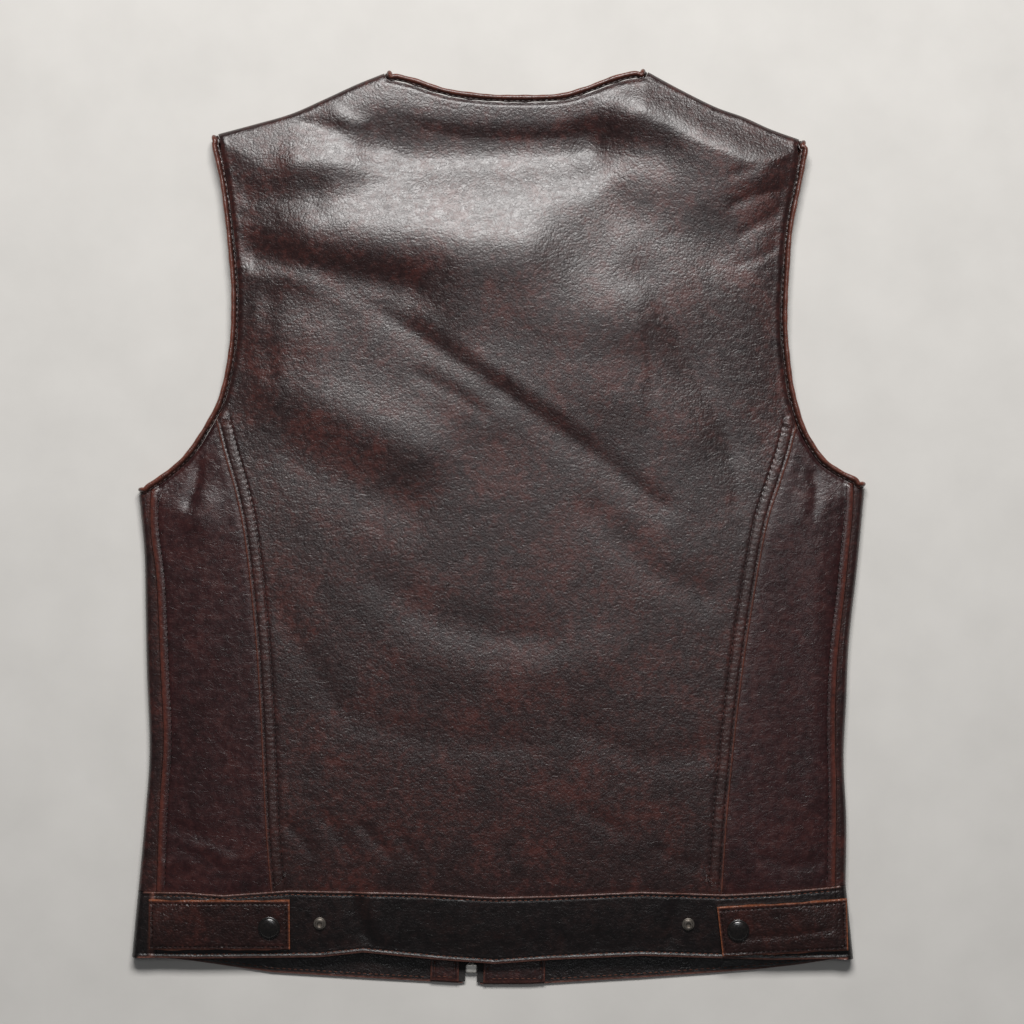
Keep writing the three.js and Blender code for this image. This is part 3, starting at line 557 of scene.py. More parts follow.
def mesh_object(name, points, faces, material, attributes=None, sharp=50):
    """Points in millimetres. Faces are arrays of point numbers, one array for each number of corners."""
    faces = faces if isinstance(faces, list) else [faces]
    used, numbers = np.unique(np.concatenate([part.ravel() for part in faces]), return_inverse=True)
    points = points[used]
    split = np.split(numbers, np.cumsum([part.size for part in faces])[:-1])
    faces = [part.reshape(whole.shape) for part, whole in zip(split, faces)]
    if sum(signed_volume(points, part) for part in faces) < 0:
        faces = [part[:, ::-1] for part in faces]
    corners = np.concatenate([part.ravel() for part in faces])
    sizes = np.concatenate([np.full(len(part), part.shape[1]) for part in faces])
    made = bpy.data.meshes.new(name)
    made.vertices.add(len(points))
    made.vertices.foreach_set("co", ((points + origin_shift) * MM).astype(np.float32).ravel())
    made.loops.add(len(corners))
    made.loops.foreach_set("vertex_index", corners.astype(np.int32))
    made.polygons.add(len(sizes))
    made.polygons.foreach_set("loop_start", np.concatenate([[0], np.cumsum(sizes)[:-1]]).astype(np.int32))
    made.update(calc_edges=True)
    made.validate()
    for label, values in (attributes or {}).items():
        layer = made.attributes.new(label, "FLOAT", "POINT")
        layer.data.foreach_set("value", values[used].astype(np.float32))
    made.shade_smooth()
    made.set_sharp_from_angle(angle=math.radians(sharp))
    made.materials.append(material)
    piece = bpy.data.objects.new(name, made)
    collection.objects.link(piece)
    return piece


def grid_faces(numbers):
    """Faces between the neighbours in a grid of point numbers."""
    return np.stack([numbers[:-1, :-1], numbers[1:, :-1], numbers[1:, 1:], numbers[:-1, 1:]], axis=-1)


def ring_numbers(rings, around):
    """Point numbers of rings, each closed on its first point."""
    numbers = np.arange(rings * around).reshape(rings, around)
    return np.concatenate([numbers, numbers[:, :1]], axis=1)


def closed_off(numbers, centre):
    """Faces of a tube of rings, with a fan at each end round the points centre and centre + 1."""
    first, last = numbers[0], numbers[-1]
    around = len(first) - 1
    foot = np.stack([np.full(around, centre), first[:-1], first[1:]], axis=1)
    head = np.stack([np.full(around, centre + 1), last[1:], last[:-1]], axis=1)
    return [grid_faces(numbers).reshape(-1, 4), np.concatenate([foot, head])]


def cloth_wall(name, middle, thickness, material, attributes=None, out=up_way, is_cloth=None):
    """Closed wall of cloth: a grid moved out by half the thickness both ways, and a rim round it."""
    columns, rows = middle.shape[:2]
    count = columns * rows
    upper = np.arange(count).reshape(columns, rows)
    lower = upper + count
    points = np.concatenate([(middle + out * thickness / 2).reshape(-1, 3),
                             (middle - out * thickness / 2).reshape(-1, 3)])
    cloth = np.ones((columns - 1, rows - 1), bool) if is_cloth is None else is_cloth
    padded = np.pad(cloth, 1)
    faces = [grid_faces(upper)[cloth], grid_faces(lower)[cloth][:, ::-1]]
    borders = [
        (padded[1:-1, :-2], lambda n: (n[:-1, :-1], n[1:, :-1])),
        (padded[2:, 1:-1], lambda n: (n[1:, :-1], n[1:, 1:])),
        (padded[1:-1, 2:], lambda n: (n[1:, 1:], n[:-1, 1:])),
        (padded[:-2, 1:-1], lambda n: (n[:-1, 1:], n[:-1, :-1])),
    ]
    for neighbour, ends in borders:
        open_edge = cloth & ~neighbour
        a, b = (end[open_edge] for end in ends(upper))
        c, d = (end[open_edge] for end in ends(lower))
        faces.append(np.stack([b, a, c, d], axis=-1))
    doubled = {label: np.tile(values.ravel(), 2) for label, values in (attributes or {}).items()}
    return mesh_object(name, points, np.concatenate(faces), material, doubled)


def patch(foot, head, left, right, u, v):
    """Coons surface: each point blends the lines that face each other."""
    u, v = u[:, None, None], v[None, :, None]
    across = (1 - v) * foot[:, None] + v * head[:, None]
    upward = (1 - u) * left[None] + u * right[None]
    corners = ((1 - v) * ((1 - u) * foot[0] + u * foot[-1]) + v * ((1 - u) * head[0] + u * head[-1]))
    return across + upward - corners


def graded(length, fine, step_fine, step_coarse, both=True):
    """Shares of a length, close together within fine of its ends and wider between."""
    start = np.arange(0, fine, step_fine)
    end = length - start[::-1] if both else np.array([length])
    count = max(int(round((end[0] - fine) / step_coarse)), 1)
    middle = np.linspace(start[-1], end[0], count + 2)[1:-1]
    return np.concatenate([start, middle, end]) / length


def in_space(plan, height):
    """Points in plan with their heights, as points in space."""
    return np.concatenate([plan, height[..., None]], axis=-1)


def turned(top, lower_middle, over, steps):
    """Half a turn: from the top layer's last line, out over the fold and down to the lower layer."""
    angle = math.pi * np.arange(1, steps + 1) / steps
    radius = (top[..., 2] - lower_middle) / 2
    out = np.stack([over[0] * np.sin(angle), over[1] * np.sin(angle), np.cos(angle)], axis=-1)
    point = top[:, None] + out * [turn_reach, turn_reach, 0]
    point[..., 2] = lower_middle + radius[:, None] * (1 + np.cos(angle))
    return point, np.broadcast_to(out, point.shape)


# Shaders

def add(tree, kind, inputs=None, **settings):
    """One shader node. inputs holds a value or another node's output for each named input."""
    made = tree.nodes.new("ShaderNode" + kind)
    for key, value in settings.items():
        setattr(made, key, value)
    for key, value in (inputs or {}).items():
        if isinstance(value, bpy.types.NodeSocket):
            tree.links.new(value, made.inputs[key])
        else:
            made.inputs[key].default_value = value
    return made


def new_material(name):
    made = bpy.data.materials.new(name)
    made.use_nodes = True
    made.node_tree.nodes.clear()
    return made, made.node_tree


def place_of(tree, stretch_by=(1, 1, 1)):
    coordinates = add(tree, "TexCoord")
    return add(tree, "Mapping", {"Vector": coordinates.outputs["Object"], "Scale": stretch_by}).outputs[0]


def noise(tree, place, size_mm, detail=4.0, rough=0.55, distort=0.0):
    """Noise whose patches are about size_mm across."""
    inputs = {"Vector": place, "Scale": 1 / (size_mm * MM), "Detail": detail, "Roughness": rough,
              "Distortion": distort}
    return add(tree, "TexNoise", inputs).outputs["Fac"]


def ramp(tree, value, stops):
    """Colour ramp. Each stop is a place and a hex colour or a grey."""
    made = add(tree, "ValToRGB", {"Fac": value})
    elements = made.color_ramp.elements
    while len(elements) < len(stops):
        elements.new(0.5)
    for element, (place, color) in zip(elements, stops):
        element.position = place
        element.color = linear(color) if isinstance(color, str) else (color, color, color, 1)
    return made.outputs["Color"]


def mixed(tree, share, first, second, blend="MIX"):
    made = add(tree, "Mix", {0: share, 6: first, 7: second}, data_type="RGBA", blend_type=blend)
    return made.outputs[2]


def math_node(tree, operation, first, second=0.0, third=0.0, clamp=False):
    inputs = {0: first, 1: second}
    if operation == "MULTIPLY_ADD":
        inputs[2] = third
    return add(tree, "Math", inputs, operation=operation, use_clamp=clamp).outputs[0]


def attribute(tree, name):
    """A mark that the piece's mesh carries: rub, phase or row."""
    return add(tree, "Attribute", attribute_name=name).outputs["Fac"]


def bump(tree, height, depth_mm, normal=None):
    inputs = {"Height": height, "Distance": depth_mm * MM, "Strength": 1.0}
    if normal:
        inputs["Normal"] = normal
    return add(tree, "Bump", inputs).outputs[0]


def surface(tree, **inputs):
    named = {"color": "Base Color", "rough": "Roughness", "metal": "Metallic", "normal": "Normal",
             "specular": "Specular IOR Level", "coat": "Coat Weight", "coat_rough": "Coat Roughness",
             "sheen": "Sheen Weight", "sheen_rough": "Sheen Roughness"}
    shader = add(tree, "BsdfPrincipled", {named[key]: value for key, value in inputs.items()})
    add(tree, "OutputMaterial", {"Surface": shader.outputs[0]})


def leather(name, deep, middle, red, worn, grain_mm=1.7, grain_depth=0.14, mottle_mm=34, shine=0.32):
    """Oil-waxed leather: blotched colour, pebbled grain, fine dry wrinkles and rubbed edges.

    Real pebbles are about 1 mm across. They are drawn wider, so that they show from 2 m.
    """
    made, tree = new_material(name)
    place = place_of(tree)
    blotch = noise(tree, place, mottle_mm, detail=8, rough=0.68, distort=0.5)
    speck = noise(tree, place, 5, detail=6, rough=0.72)
    cloudy = math_node(tree, "MULTIPLY_ADD", speck, 0.55, math_node(tree, "MULTIPLY", blotch, 0.55))
    color = ramp(tree, cloudy, [(0.42, deep), (0.55, middle), (0.68, red)])
    scuff = noise(tree, place, 3.2, detail=4, rough=0.7)
    shown = math_node(tree, "MULTIPLY_ADD", scuff, 1.6, -0.28)
    worn_through = math_node(tree, "MULTIPLY", attribute(tree, "rub"), shown, clamp=True)
    color = mixed(tree, worn_through, color, linear(worn))
    pebble = add(tree, "TexVoronoi", {"Vector": place, "Scale": 1 / (grain_mm * MM), "Randomness": 1.0},
                 feature="F1").outputs["Distance"]
    valley = math_node(tree, "MULTIPLY", pebble, pebble)
    wrinkle = noise(tree, place_of(tree, (0.8, 1.2, 1)), 5.5, detail=5, rough=0.6, distort=0.9)
    crack = ramp(tree, wrinkle, [(0.38, 0.0), (0.5, 1.0), (0.62, 0.3)])
    rippled = math_node(tree, "SINE", attribute(tree, "phase"))
    puckered = math_node(tree, "MULTIPLY", rippled, attribute(tree, "row"))
    normal = bump(tree, puckered, 0.15)
    normal = bump(tree, noise(tree, place, 19, detail=4, rough=0.55, distort=0.5), 0.5, normal)
    normal = bump(tree, crack, 0.08, normal)
    normal = bump(tree, math_node(tree, "SUBTRACT", 1.0, valley), grain_depth, normal)
    rough = ramp(tree, speck, [(0.3, shine - 0.05), (0.7, shine + 0.1)])
    surface(tree, color=color, rough=rough, normal=normal, specular=0.55, coat=0.2, coat_rough=0.26)
    return made


def metal(name, color, rough):
    """Polished cast or pressed metal with faint handling marks."""
    made, tree = new_material(name)
    marks = noise(tree, place_of(tree, (1, 7, 1)), 1.2, detail=5, rough=0.7)
    shade = ramp(tree, noise(tree, place_of(tree), 2.5), [(0.3, 0.42), (0.7, 0.58)])
    surface(tree, color=mixed(tree, 0.5, linear(color), shade, "OVERLAY"), metal=1.0,
            rough=ramp(tree, marks, [(0.35, rough), (0.75, rough + 0.12)]), normal=bump(tree, marks, 0.01))
    return made


def lacquered(name, color):
    """Black enamel over a pressed cap: smooth, glossy, with dust in places."""
    made, tree = new_material(name)
    dust = noise(tree, place_of(tree), 2.2, detail=5, rough=0.7)
    surface(tree, color=ramp(tree, dust, [(0.45, color), (0.85, "#201a17")]),
            rough=ramp(tree, dust, [(0.3, 0.2), (0.8, 0.42)]), specular=0.6, coat=0.5, coat_rough=0.12,
            normal=bump(tree, dust, 0.01))
    return made


def woven_tape(name, color):
    """Black polyester zip tape: a herringbone that reads as dull ribs, drawn twice as coarse as it is."""
    made, tree = new_material(name)
    place = place_of(tree)
    warp, weft = (add(tree, "TexWave", {"Vector": place, "Scale": 1 / (rib_mm * MM) / 6.28},
                      wave_type="BANDS", bands_direction=way).outputs["Fac"]
                  for rib_mm, way in ((0.9, "DIAGONAL"), (0.7, "Y")))
    ribs = math_node(tree, "ADD", warp, weft)
    fuzz = noise(tree, place, 0.8)
    surface(tree, color=mixed(tree, fuzz, linear(color), linear("#2a2624")), rough=0.85, sheen=0.3,
            sheen_rough=0.5, normal=bump(tree, ribs, 0.12))
    return made


def spun_thread(name, color, light):
    """Spun polyester thread: strands whose twist is drawn coarse, with painted shade in the hollows between
    them, and no shine.
    """
    made, tree = new_material(name)
    twist = noise(tree, place_of(tree), 0.6, detail=3)
    # The twist that makes the bump also sets the colour: its hollows get painted shade, its raised strands
    # the lighter colour.
    surface(tree, color=mixed(tree, twist, linear(color), linear(light)), rough=0.85, specular=0.15,
            normal=bump(tree, twist, 0.08))
    return made


def pale_floor(name):
    """A smooth, pale, matt tabletop with a barely seen grain."""
    made, tree = new_material(name)
    tone = noise(tree, place_of(tree), 60, detail=5)
    surface(tree, color=ramp(tree, tone, [(0.3, "#cfcdc9"), (0.7, "#d6d4d0")]), rough=0.8,
            normal=bump(tree, noise(tree, place_of(tree), 1.5), 0.03))
    return made


# Waxed hides: the same oiled finish, in different depths of colour
body_hide = leather("waxed brown leather", "#1c1010", "#2a1716", "#45201b", "#7d4a3c")
side_hide = leather("waxed oxblood leather", "#1d0d0e", "#2b1213", "#3c1b19", "#7c4233", grain_depth=0.06,
                    shine=0.3)
waist_hide = leather("waxed near-black leather", "#0b0808", "#130c0c", "#20110f", "#9a6557",
                     grain_depth=0.12)
rolled_hide = leather("rubbed rolled edge leather", "#180c0a", "#28130f", "#401d16", "#8a4c3a", grain_mm=1.2,
                      grain_depth=0.04, mottle_mm=20, shine=0.28)
tab_hide = leather("pebbled tab leather", "#180c0b", "#261311", "#3c1c17", "#a9623f", grain_depth=0.24)
tape_cloth = woven_tape("black woven zip tape", "#0e0d0d")
zip_nickel = metal("dark nickel zip teeth", "#6d6963", 0.3)
box_nickel = metal("bright nickel retainer box", "#f2efe8", 0.5)
cap_enamel = lacquered("black enamelled snap cap", "#0f0c0b")
stud_metal = metal("dark snap stud metal", "#8f8880", 0.42)
seam_thread = spun_thread("black polyester thread", "#080606", "#1a110f")
hem_thread = spun_thread("rubbed brown polyester thread", "#3c2219", "#7e5548")


# Panels

half_gap = seam_gap / 2
shoulder_share = 8 / 26
princess_share = 16 / 31
fine_step = 0.65
cloth_step = 2.8
front_step = 4.5
turn_steps = 10

# Rough spans of the panels, from which the rows of points along them are worked out
back_span, princess_span, armhole_span = 380.0, 345, 215
side_span, side_height = 75, 330
front_span, fold_strip = 240, 9
band_height, front_band_height = 48, 58
tab_span, tab_height = 100, 38


def toward(line, distance, side):
    """Moves a line out to its own side of the vest."""
    return line + [outward[side] * distance, 0]


def along_x(start, end, shares, table, lift):
    """A line across the vest at a table's y, at shares of the way from start to end."""
    x = start + (end - start) * shares
    return np.stack([x, height_along(table, x) + lift], axis=1)


def join_shares(*parts):
    """Joins runs of shares, each given as (start, end, shares of that run)."""
    runs = [start + (end - start) * shares for start, end, shares in parts]
    return np.concatenate([runs[0]] + [run[1:] for run in runs[1:]])


def top_points(panel, plan):
    """Points of a top panel at its height, with its marks."""
    height, marks = surface_of(panel, plan)
    return in_space(plan, height), marks


def cells_of(grid):
    """Column and row numbers of the faces of a grid."""
    return np.arange(grid.shape[0] - 1)[:, None], np.arange(grid.shape[1] - 1)[None]


def upper_edge(shares):
    """The back's top edge: left shoulder, neck, right shoulder."""
    left = shares <= shoulder_share
    right = shares >= 1 - shoulder_share
    middle = ~left & ~right
    return np.concatenate([
        shoulder_line("left", shares[left] / shoulder_share),
        neck_line((shares[middle] - shoulder_share) / (1 - 2 * shoulder_share)),
        shoulder_line("right", (1 - shares[right]) / shoulder_share)])


def make_back():
    """The back: a Coons surface between its seams, turned down over both shoulders and a little under."""
    near_seam = graded(back_span * shoulder_share, 13, fine_step, cloth_step, both=False)
    shares = join_shares((0, shoulder_share, near_seam), (shoulder_share, 1 - shoulder_share, even(52)),
                         (1 - shoulder_share, 1, 1 - near_seam[::-1]))
    shoulder_columns = len(near_seam)
    seam_shares = graded(princess_span, 5, 1.2, cloth_step, both=False)
    hole_shares = 1 - graded(armhole_span, 6, 1.0, cloth_step, both=False)[::-1]
    upward = join_shares((0, princess_share, seam_shares), (princess_share, 1, hole_shares))

    def edge(side):
        seam = toward(princess_line(side, seam_shares), -half_gap, side)
        return np.concatenate([seam[:-1], armhole_edge(side, 1 - hole_shares)])

    left, right = edge("left"), edge("right")
    head = upper_edge(shares)
    foot = along_x(left[0, 0], right[0, 0], shares, band_top, half_gap)
    left[0], right[0], left[-1], right[-1] = foot[0], foot[-1], head[0], head[-1]
    top, marks = top_points("back", patch(foot, head, left, right, shares, upward))
    columns, rows = top.shape[:2]
    halves = [slice(0, columns // 2), slice(columns // 2, columns)]
    over_rows, over_outs = [], []
    for side, part in zip(sides, halves):
        over = fold_axes(side)[1]
        bent, bent_out = turned(top[part, -1], leather_thick / 2, over, turn_steps)
        back_in = np.append(over, 0) * -shoulder_under * np.array([0.35, 0.7, 1.0])[:, None]
        flat = bent[:, -1:] + back_in
        over_rows.append(np.concatenate([bent, flat], axis=1))
        over_outs.append(np.concatenate([bent_out, np.broadcast_to(-up_way, flat.shape)], axis=1))
    middle = np.concatenate([top, np.concatenate(over_rows)], axis=1)
    out = np.concatenate([np.broadcast_to(up_way, top.shape), np.concatenate(over_outs)], axis=1)
    more = middle.shape[1] - rows
    marks = {name: np.pad(values, ((0, 0), (0, more))) for name, values in marks.items()}
    column, row = cells_of(middle)
    on_shoulder = (column < shoulder_columns - 1) | (column >= columns - shoulder_columns)
    is_cloth = (row < rows - 1) | on_shoulder
    return cloth_wall("back_leather", middle, leather_thick, body_hide, marks, out, is_cloth)


def make_side_panel(side):
    """Side panel: a Coons surface between the princess seam and the side seam."""
    across = graded(side_span, 8, 0.7, cloth_step)
    upward = 1 - graded(side_height, 6, 1.0, cloth_step, both=False)[::-1]
    inner = toward(princess_line(side, upward), half_gap, side)
    outer = toward(side_seam_line(side, upward), -half_gap, side)
    foot = along_x(inner[0, 0], outer[0, 0], across, band_top, half_gap)
    head = side_armhole_edge(side, across)
    head[0], head[-1], inner[0], outer[0] = inner[-1], outer[-1], foot[0], foot[-1]
    middle, marks = top_points("side " + side, patch(foot, head, inner, outer, across, upward))
    return cloth_wall("side_leather_" + side, middle, leather_thick, side_hide, marks)


def turned_up(lower, side, top_line, seam_line, panel, lower_middle, lower_marks):
    """Carries a lower layer round the side fold and on to the side seam, on top."""
    start, _ = top_points(panel, top_line)
    bent, bent_out = turned(start, lower_middle, (outward[side], 0.0), turn_steps)
    strip_shares = 1 - graded(fold_strip, 3, 0.7, 1.6, both=False)[::-1]
    strip = top_line + (seam_line - top_line) * strip_shares[:, None, None]
    top, top_marks = top_points(panel, strip)
    round_it, round_out = (part[:, :-1][:, ::-1].swapaxes(0, 1) for part in (bent, bent_out))
    middle = np.concatenate([lower, round_it, top])
    out = np.concatenate([np.broadcast_to(-up_way, lower.shape), round_out,
                          np.broadcast_to(up_way, top.shape)])
    plain = np.zeros(round_it.shape[:2])
    marks = {name: np.concatenate([lower_marks[name], plain, top_marks[name]]) for name in top_marks}
    return middle, out, marks


def no_marks(shape):
    """Marks of plain cloth, with no edge beside it."""
    return {name: np.zeros(shape) for name in ("rub", "phase", "row")}


def front_height(x, y, middle):
    """Middle of a lower layer, with its rise round the zip's top and its creases."""
    return middle + lower_lift(x, y) + crease_height(front_creases, x, y)


def make_front(side):
    """A front: a Coons surface that lies flat, turned up round the side fold to the side seam."""
    across = graded(front_span, 6, 1.5, front_step)
    low_shares, high_shares = even(64), even(50)
    upward = join_shares((0, princess_share, low_shares), (princess_share, 1, high_shares))
    over = fold_axes(side)[1]
    head = shoulder_line(side, 1 - across) - over * (shoulder_under + seam_gap)
    foot_y = height_along(band_top, zip_foot[0]) + half_gap
    edge_x = zip_x(foot_y) + outward[side] * front_to_zip
    neck = front_neck_edge[side]
    inner = np.concatenate([on_curve([[edge_x, foot_y], neck[0]], low_shares)[:-1],
                            on_curve(neck + [list(head[0])], high_shares)])
    fold = toward(on_curve(side_fold[side], low_shares), -fold_inset, side)
    armhole = [list(fold[-1])] + front_armhole_edge[side] + [list(head[-1])]
    outer = np.concatenate([fold[:-1], on_curve(armhole, high_shares)])
    foot = along_x(inner[0, 0], outer[0, 0], across, front_band_top, half_gap)
    inner[0], outer[0], inner[-1], outer[-1] = foot[0], foot[-1], head[0], head[-1]
    plan = patch(foot, head, inner, outer, across, upward)
    lower = in_space(plan, front_height(plan[..., 0], plan[..., 1], leather_thick / 2))
    row_of = np.minimum(np.arange(len(upward)), len(low_shares) - 1)
    top_line = outer[row_of]
    seam = toward(side_seam_line(side, low_shares), half_gap, side)
    seam[0, 1] = height_along(band_top, seam[0, 0]) + half_gap
    middle, out, marks = turned_up(lower, side, top_line, seam[row_of], "front " + side, leather_thick / 2,
                                   no_marks(lower.shape[:2]))
    column, row = cells_of(middle)
    is_cloth = (column < len(across) - 1) | (row < len(low_shares) - 1)
    return cloth_wall("front_leather_" + side, middle, leather_thick, body_hide, marks, out, is_cloth)


def band_grid(foot, head, upward):
    """Straight lines from foot to head, at shares of the way."""
    return foot[:, None] + (head - foot)[:, None] * upward[None, :, None]


def make_back_band():
    """Waistband of the back, straight lines between its top and foot, from seam to seam."""
    start = side_seam["left"][0][0] + half_gap
    end = side_seam["right"][0][0] - half_gap
    across, upward = even(210), graded(band_height, 6, 0.7, 2.2)
    head = along_x(start, end, across, band_top, -half_gap)
    foot = along_x(start, end, across, band_foot, 0)
    middle, marks = top_points("waistband", band_grid(foot, head, upward))
    return cloth_wall("back_band", middle, band_thick, waist_hide, marks)


def make_front_band(side):
    """Waistband of a front, from the zip round the side fold to the side seam."""
    across, upward = even(80), graded(front_band_height, 6, 0.8, 2.6)
    inset = fold_inset + (band_thick - leather_thick) / 2
    ends = toward(np.asarray(band_fold[side], float), -inset, side)
    start = zip_x(zip_foot[1]) + outward[side] * front_to_zip
    head = along_x(start, ends[0, 0], across, front_band_top, -half_gap)
    foot = along_x(start, ends[-1, 0], across, front_hem, 0)
    plan = band_grid(foot, head, upward)
    lift, marks = edge_relief(plan, [(head, banded), (foot, banded), (np.stack([foot[0], head[0]]), banded)])
    rise = lower_lift(plan[..., 0], plan[..., 1]) + np.maximum(lift, 0) * 0.3
    lower = in_space(plan, band_thick / 2 + rise)
    seam_x = side_seam[side][0][0] + outward[side] * half_gap
    low, high = height_along(band_foot, seam_x), height_along(band_top, seam_x) - half_gap
    seam = np.stack([np.full(len(upward), seam_x), low + (high - low) * upward], axis=1)
    middle, out, marks = turned_up(lower, side, plan[-1], seam, "waistband", band_thick / 2, marks)
    return cloth_wall("front_band_" + side, middle, band_thick, waist_hide, marks, out)


def strip_grid(side, inner, outer, foot_y, head_y, middle, across, upward):
    """A strip beside the zip: inner and outer are distances from the zip's middle."""
    inner = np.broadcast_to(inner, upward.shape)
    away = inner + (outer - inner) * across[:, None]
    hem = height_along(front_hem, zip_foot[0] + outward[side] * away[:, :1]) + hem_turn
    foot = np.maximum(foot_y, hem)
    y = foot + (head_y - foot) * upward[None]
    x = zip_x(y) + outward[side] * away
    return np.stack([x, y, middle + lower_lift(x, y)], axis=-1)


def make_facing(side):
    """Strip of body leather inside the front, with its long outer edge stitched down."""
    middle = tape_middle + tape_thick / 2 + seam_gap + leather_thick / 2
    outer = facing_to_zip + facing_width[side]
    across = graded(facing_width[side], 5, 0.7, 2.2)
    grid = strip_grid(side, facing_to_zip, outer, facing_foot, facing_top, middle, across, even(170))
    border = [(grid[0, :, :2], banded), (grid[-1, :, :2], banded), (grid[:, 0, :2], plain_end)]
    lift, marks = edge_relief(grid, border)
    grid = grid + up_way * np.minimum(lift, 0.25)[..., None]
    return cloth_wall("facing_leather_" + side, grid, leather_thick, body_hide, marks)


def make_tape(side):
    """Woven tape that carries the teeth. It passes the retainer box on its outer side."""
    upward = even(150)
    beside_box = tape_reach[0] + (tape_reach[1] - tape_reach[0]) * upward < zip_foot[1] + box_passed
    inner = np.where(beside_box, tape_beside_box, tape_span[0])
    grid = strip_grid(side, inner, tape_span[1], *tape_reach, tape_middle, even(6), upward)
    return cloth_wall("tape_cloth_" + side, grid, tape_thick, tape_cloth)


# Bindings

# The rolled edge in section: across from the panel's side, and up. A groove holds the stitches.
rolled_section = np.array([
    (-2.8, -0.7), (-2.85, 0.3), (-2.4, 0.72), (-1.9, 0.55), (-1.45, 0.7), (-1.0, 1.3), (-0.35, 1.95),
    (0.5, 2.25), (1.35, 2.05), (2.0, 1.35), (2.35, 0.4), (2.35, -0.6), (1.9, -1.6), (0.9, -2.2),
    (-0.4, -2.15), (-1.6, -1.7), (-2.4, -1.3)])
rolled_rub = np.array([0, 0, 0, 0, 0, 0.1, 0.35, 0.6, 0.75, 0.85, 0.85, 0.8, 0.6, 0.3, 0.2, 0, 0])
rolled_row = np.array([0, 0.1, 0.15, 0.15, 0.1, 0, 0, 0, 0, 0, 0, 0, 0, 0, 0, 0, 0])
groove_place = (-1.9, 0.62)
binding_point_step = 1.5
off_surface = 0.05


def resampled(controls, step, closed):
    """Even points along a smooth curve through rows of x, y, z and the cloth's way out there."""
    rows = np.asarray(controls, float)
    if closed:
        rows = np.concatenate([rows[-2:], rows, rows[:3]])
    first, last = (2, len(rows) - 3) if closed else (0, len(rows) - 1)
    fine = spline_at(rows, np.linspace(first, last, 24 * (last - first) + 1))
    length = np.concatenate([[0], np.cumsum(np.linalg.norm(np.diff(fine[:, :3], axis=0), axis=1))])
    count = int(round(length[-1] / step))
    places = np.linspace(0, length[-1], count + 1)
    places = places[:-1] if closed else places
    even_rows = np.stack([np.interp(places, length, fine[:, k]) for k in range(6)], axis=1)
    out = even_rows[:, 3:]
    return even_rows[:, :3], out / np.linalg.norm(out, axis=1)[:, None], places


def with_out(points, out):
    """Rows of x, y, z and the cloth's way out."""
    return np.concatenate([points, np.broadcast_to(out, points.shape)], axis=1)


def bead_turn(start, over, aside):
    """Half a turn of the binding beside the end of a fold, from the top layer down."""
    x, y = start
    high, low = float(top_height(np.array([x]), np.array([y]))[0]), bead_middle
    angle = math.pi * np.linspace(0, 1, 7)
    place = (start + aside) + np.outer(np.sin(angle) * bead_reach, over)
    height = (high + low) / 2 + np.cos(angle) * (high - low) / 2
    out = np.stack([over[0] * np.sin(angle), over[1] * np.sin(angle), np.cos(angle)], axis=1)
    return np.concatenate([place, height[:, None], out], axis=1)


def bead_on_top(line, distance):
    """Middle of a binding beside an edge of the top layer."""
    plan = moved_sideways(line, distance)
    height = top_height(plan[:, 0], plan[:, 1])
    return with_out(in_space(plan, height), up_way)


def bead_below(line, distance):
    """Middle of a binding beside an edge of the lower layer, whose way out is down."""
    plan = moved_sideways(line, distance)
    return with_out(in_space(plan, bead_middle + lower_lift(plan[:, 0], plan[:, 1])), -up_way)


def neck_controls():
    """Way of the neck binding: up one front, over the shoulder, round the back's neck and down."""
    legs, turns = [], []
    for side in sides:
        across, over = fold_axes(side)
        corner = shoulder_line(side, [1.0])[0]
        under_end = corner - over * shoulder_under
        v_line = on_curve(front_neck_edge[side] + [list(under_end)], even(14))
        legs.append(bead_below(v_line, outward[side] * binding_step))
        turns.append(bead_turn(corner, over, across * binding_step))
    over_back = bead_on_top(neck_line(even(30)), binding_step)[1:-1]
    return np.concatenate([legs[0], turns[0][::-1], over_back, turns[1], legs[1][::-1]])


def armhole_controls(side):
    """Way of an armhole binding: down the back, round the side fold, up the front and over."""
    across, over = fold_axes(side)
    rim = stretch(armhole_rim[side], 0.3, rim_at_side_seam, even(26))
    on_top = bead_on_top(rim, -outward[side] * bead_middle)
    corner = shoulder_line(side, [0.0])[0]
    shoulder_turn = bead_turn(corner, over, -across * binding_step)
    side_end = np.array([side_fold[side][-1][0] - outward[side] * fold_inset, side_fold[side][-1][1]])
    side_turn = bead_turn(side_end, np.array([outward[side], 0.0]), np.array([0.0, binding_step]))
    under_end = corner - over * shoulder_under
    low_line = on_curve([list(side_end)] + front_armhole_edge[side] + [list(under_end)], even(26))
    low = bead_below(low_line, -outward[side] * binding_step)
    return np.concatenate([on_top, side_turn, low[1:], shoulder_turn[::-1]])


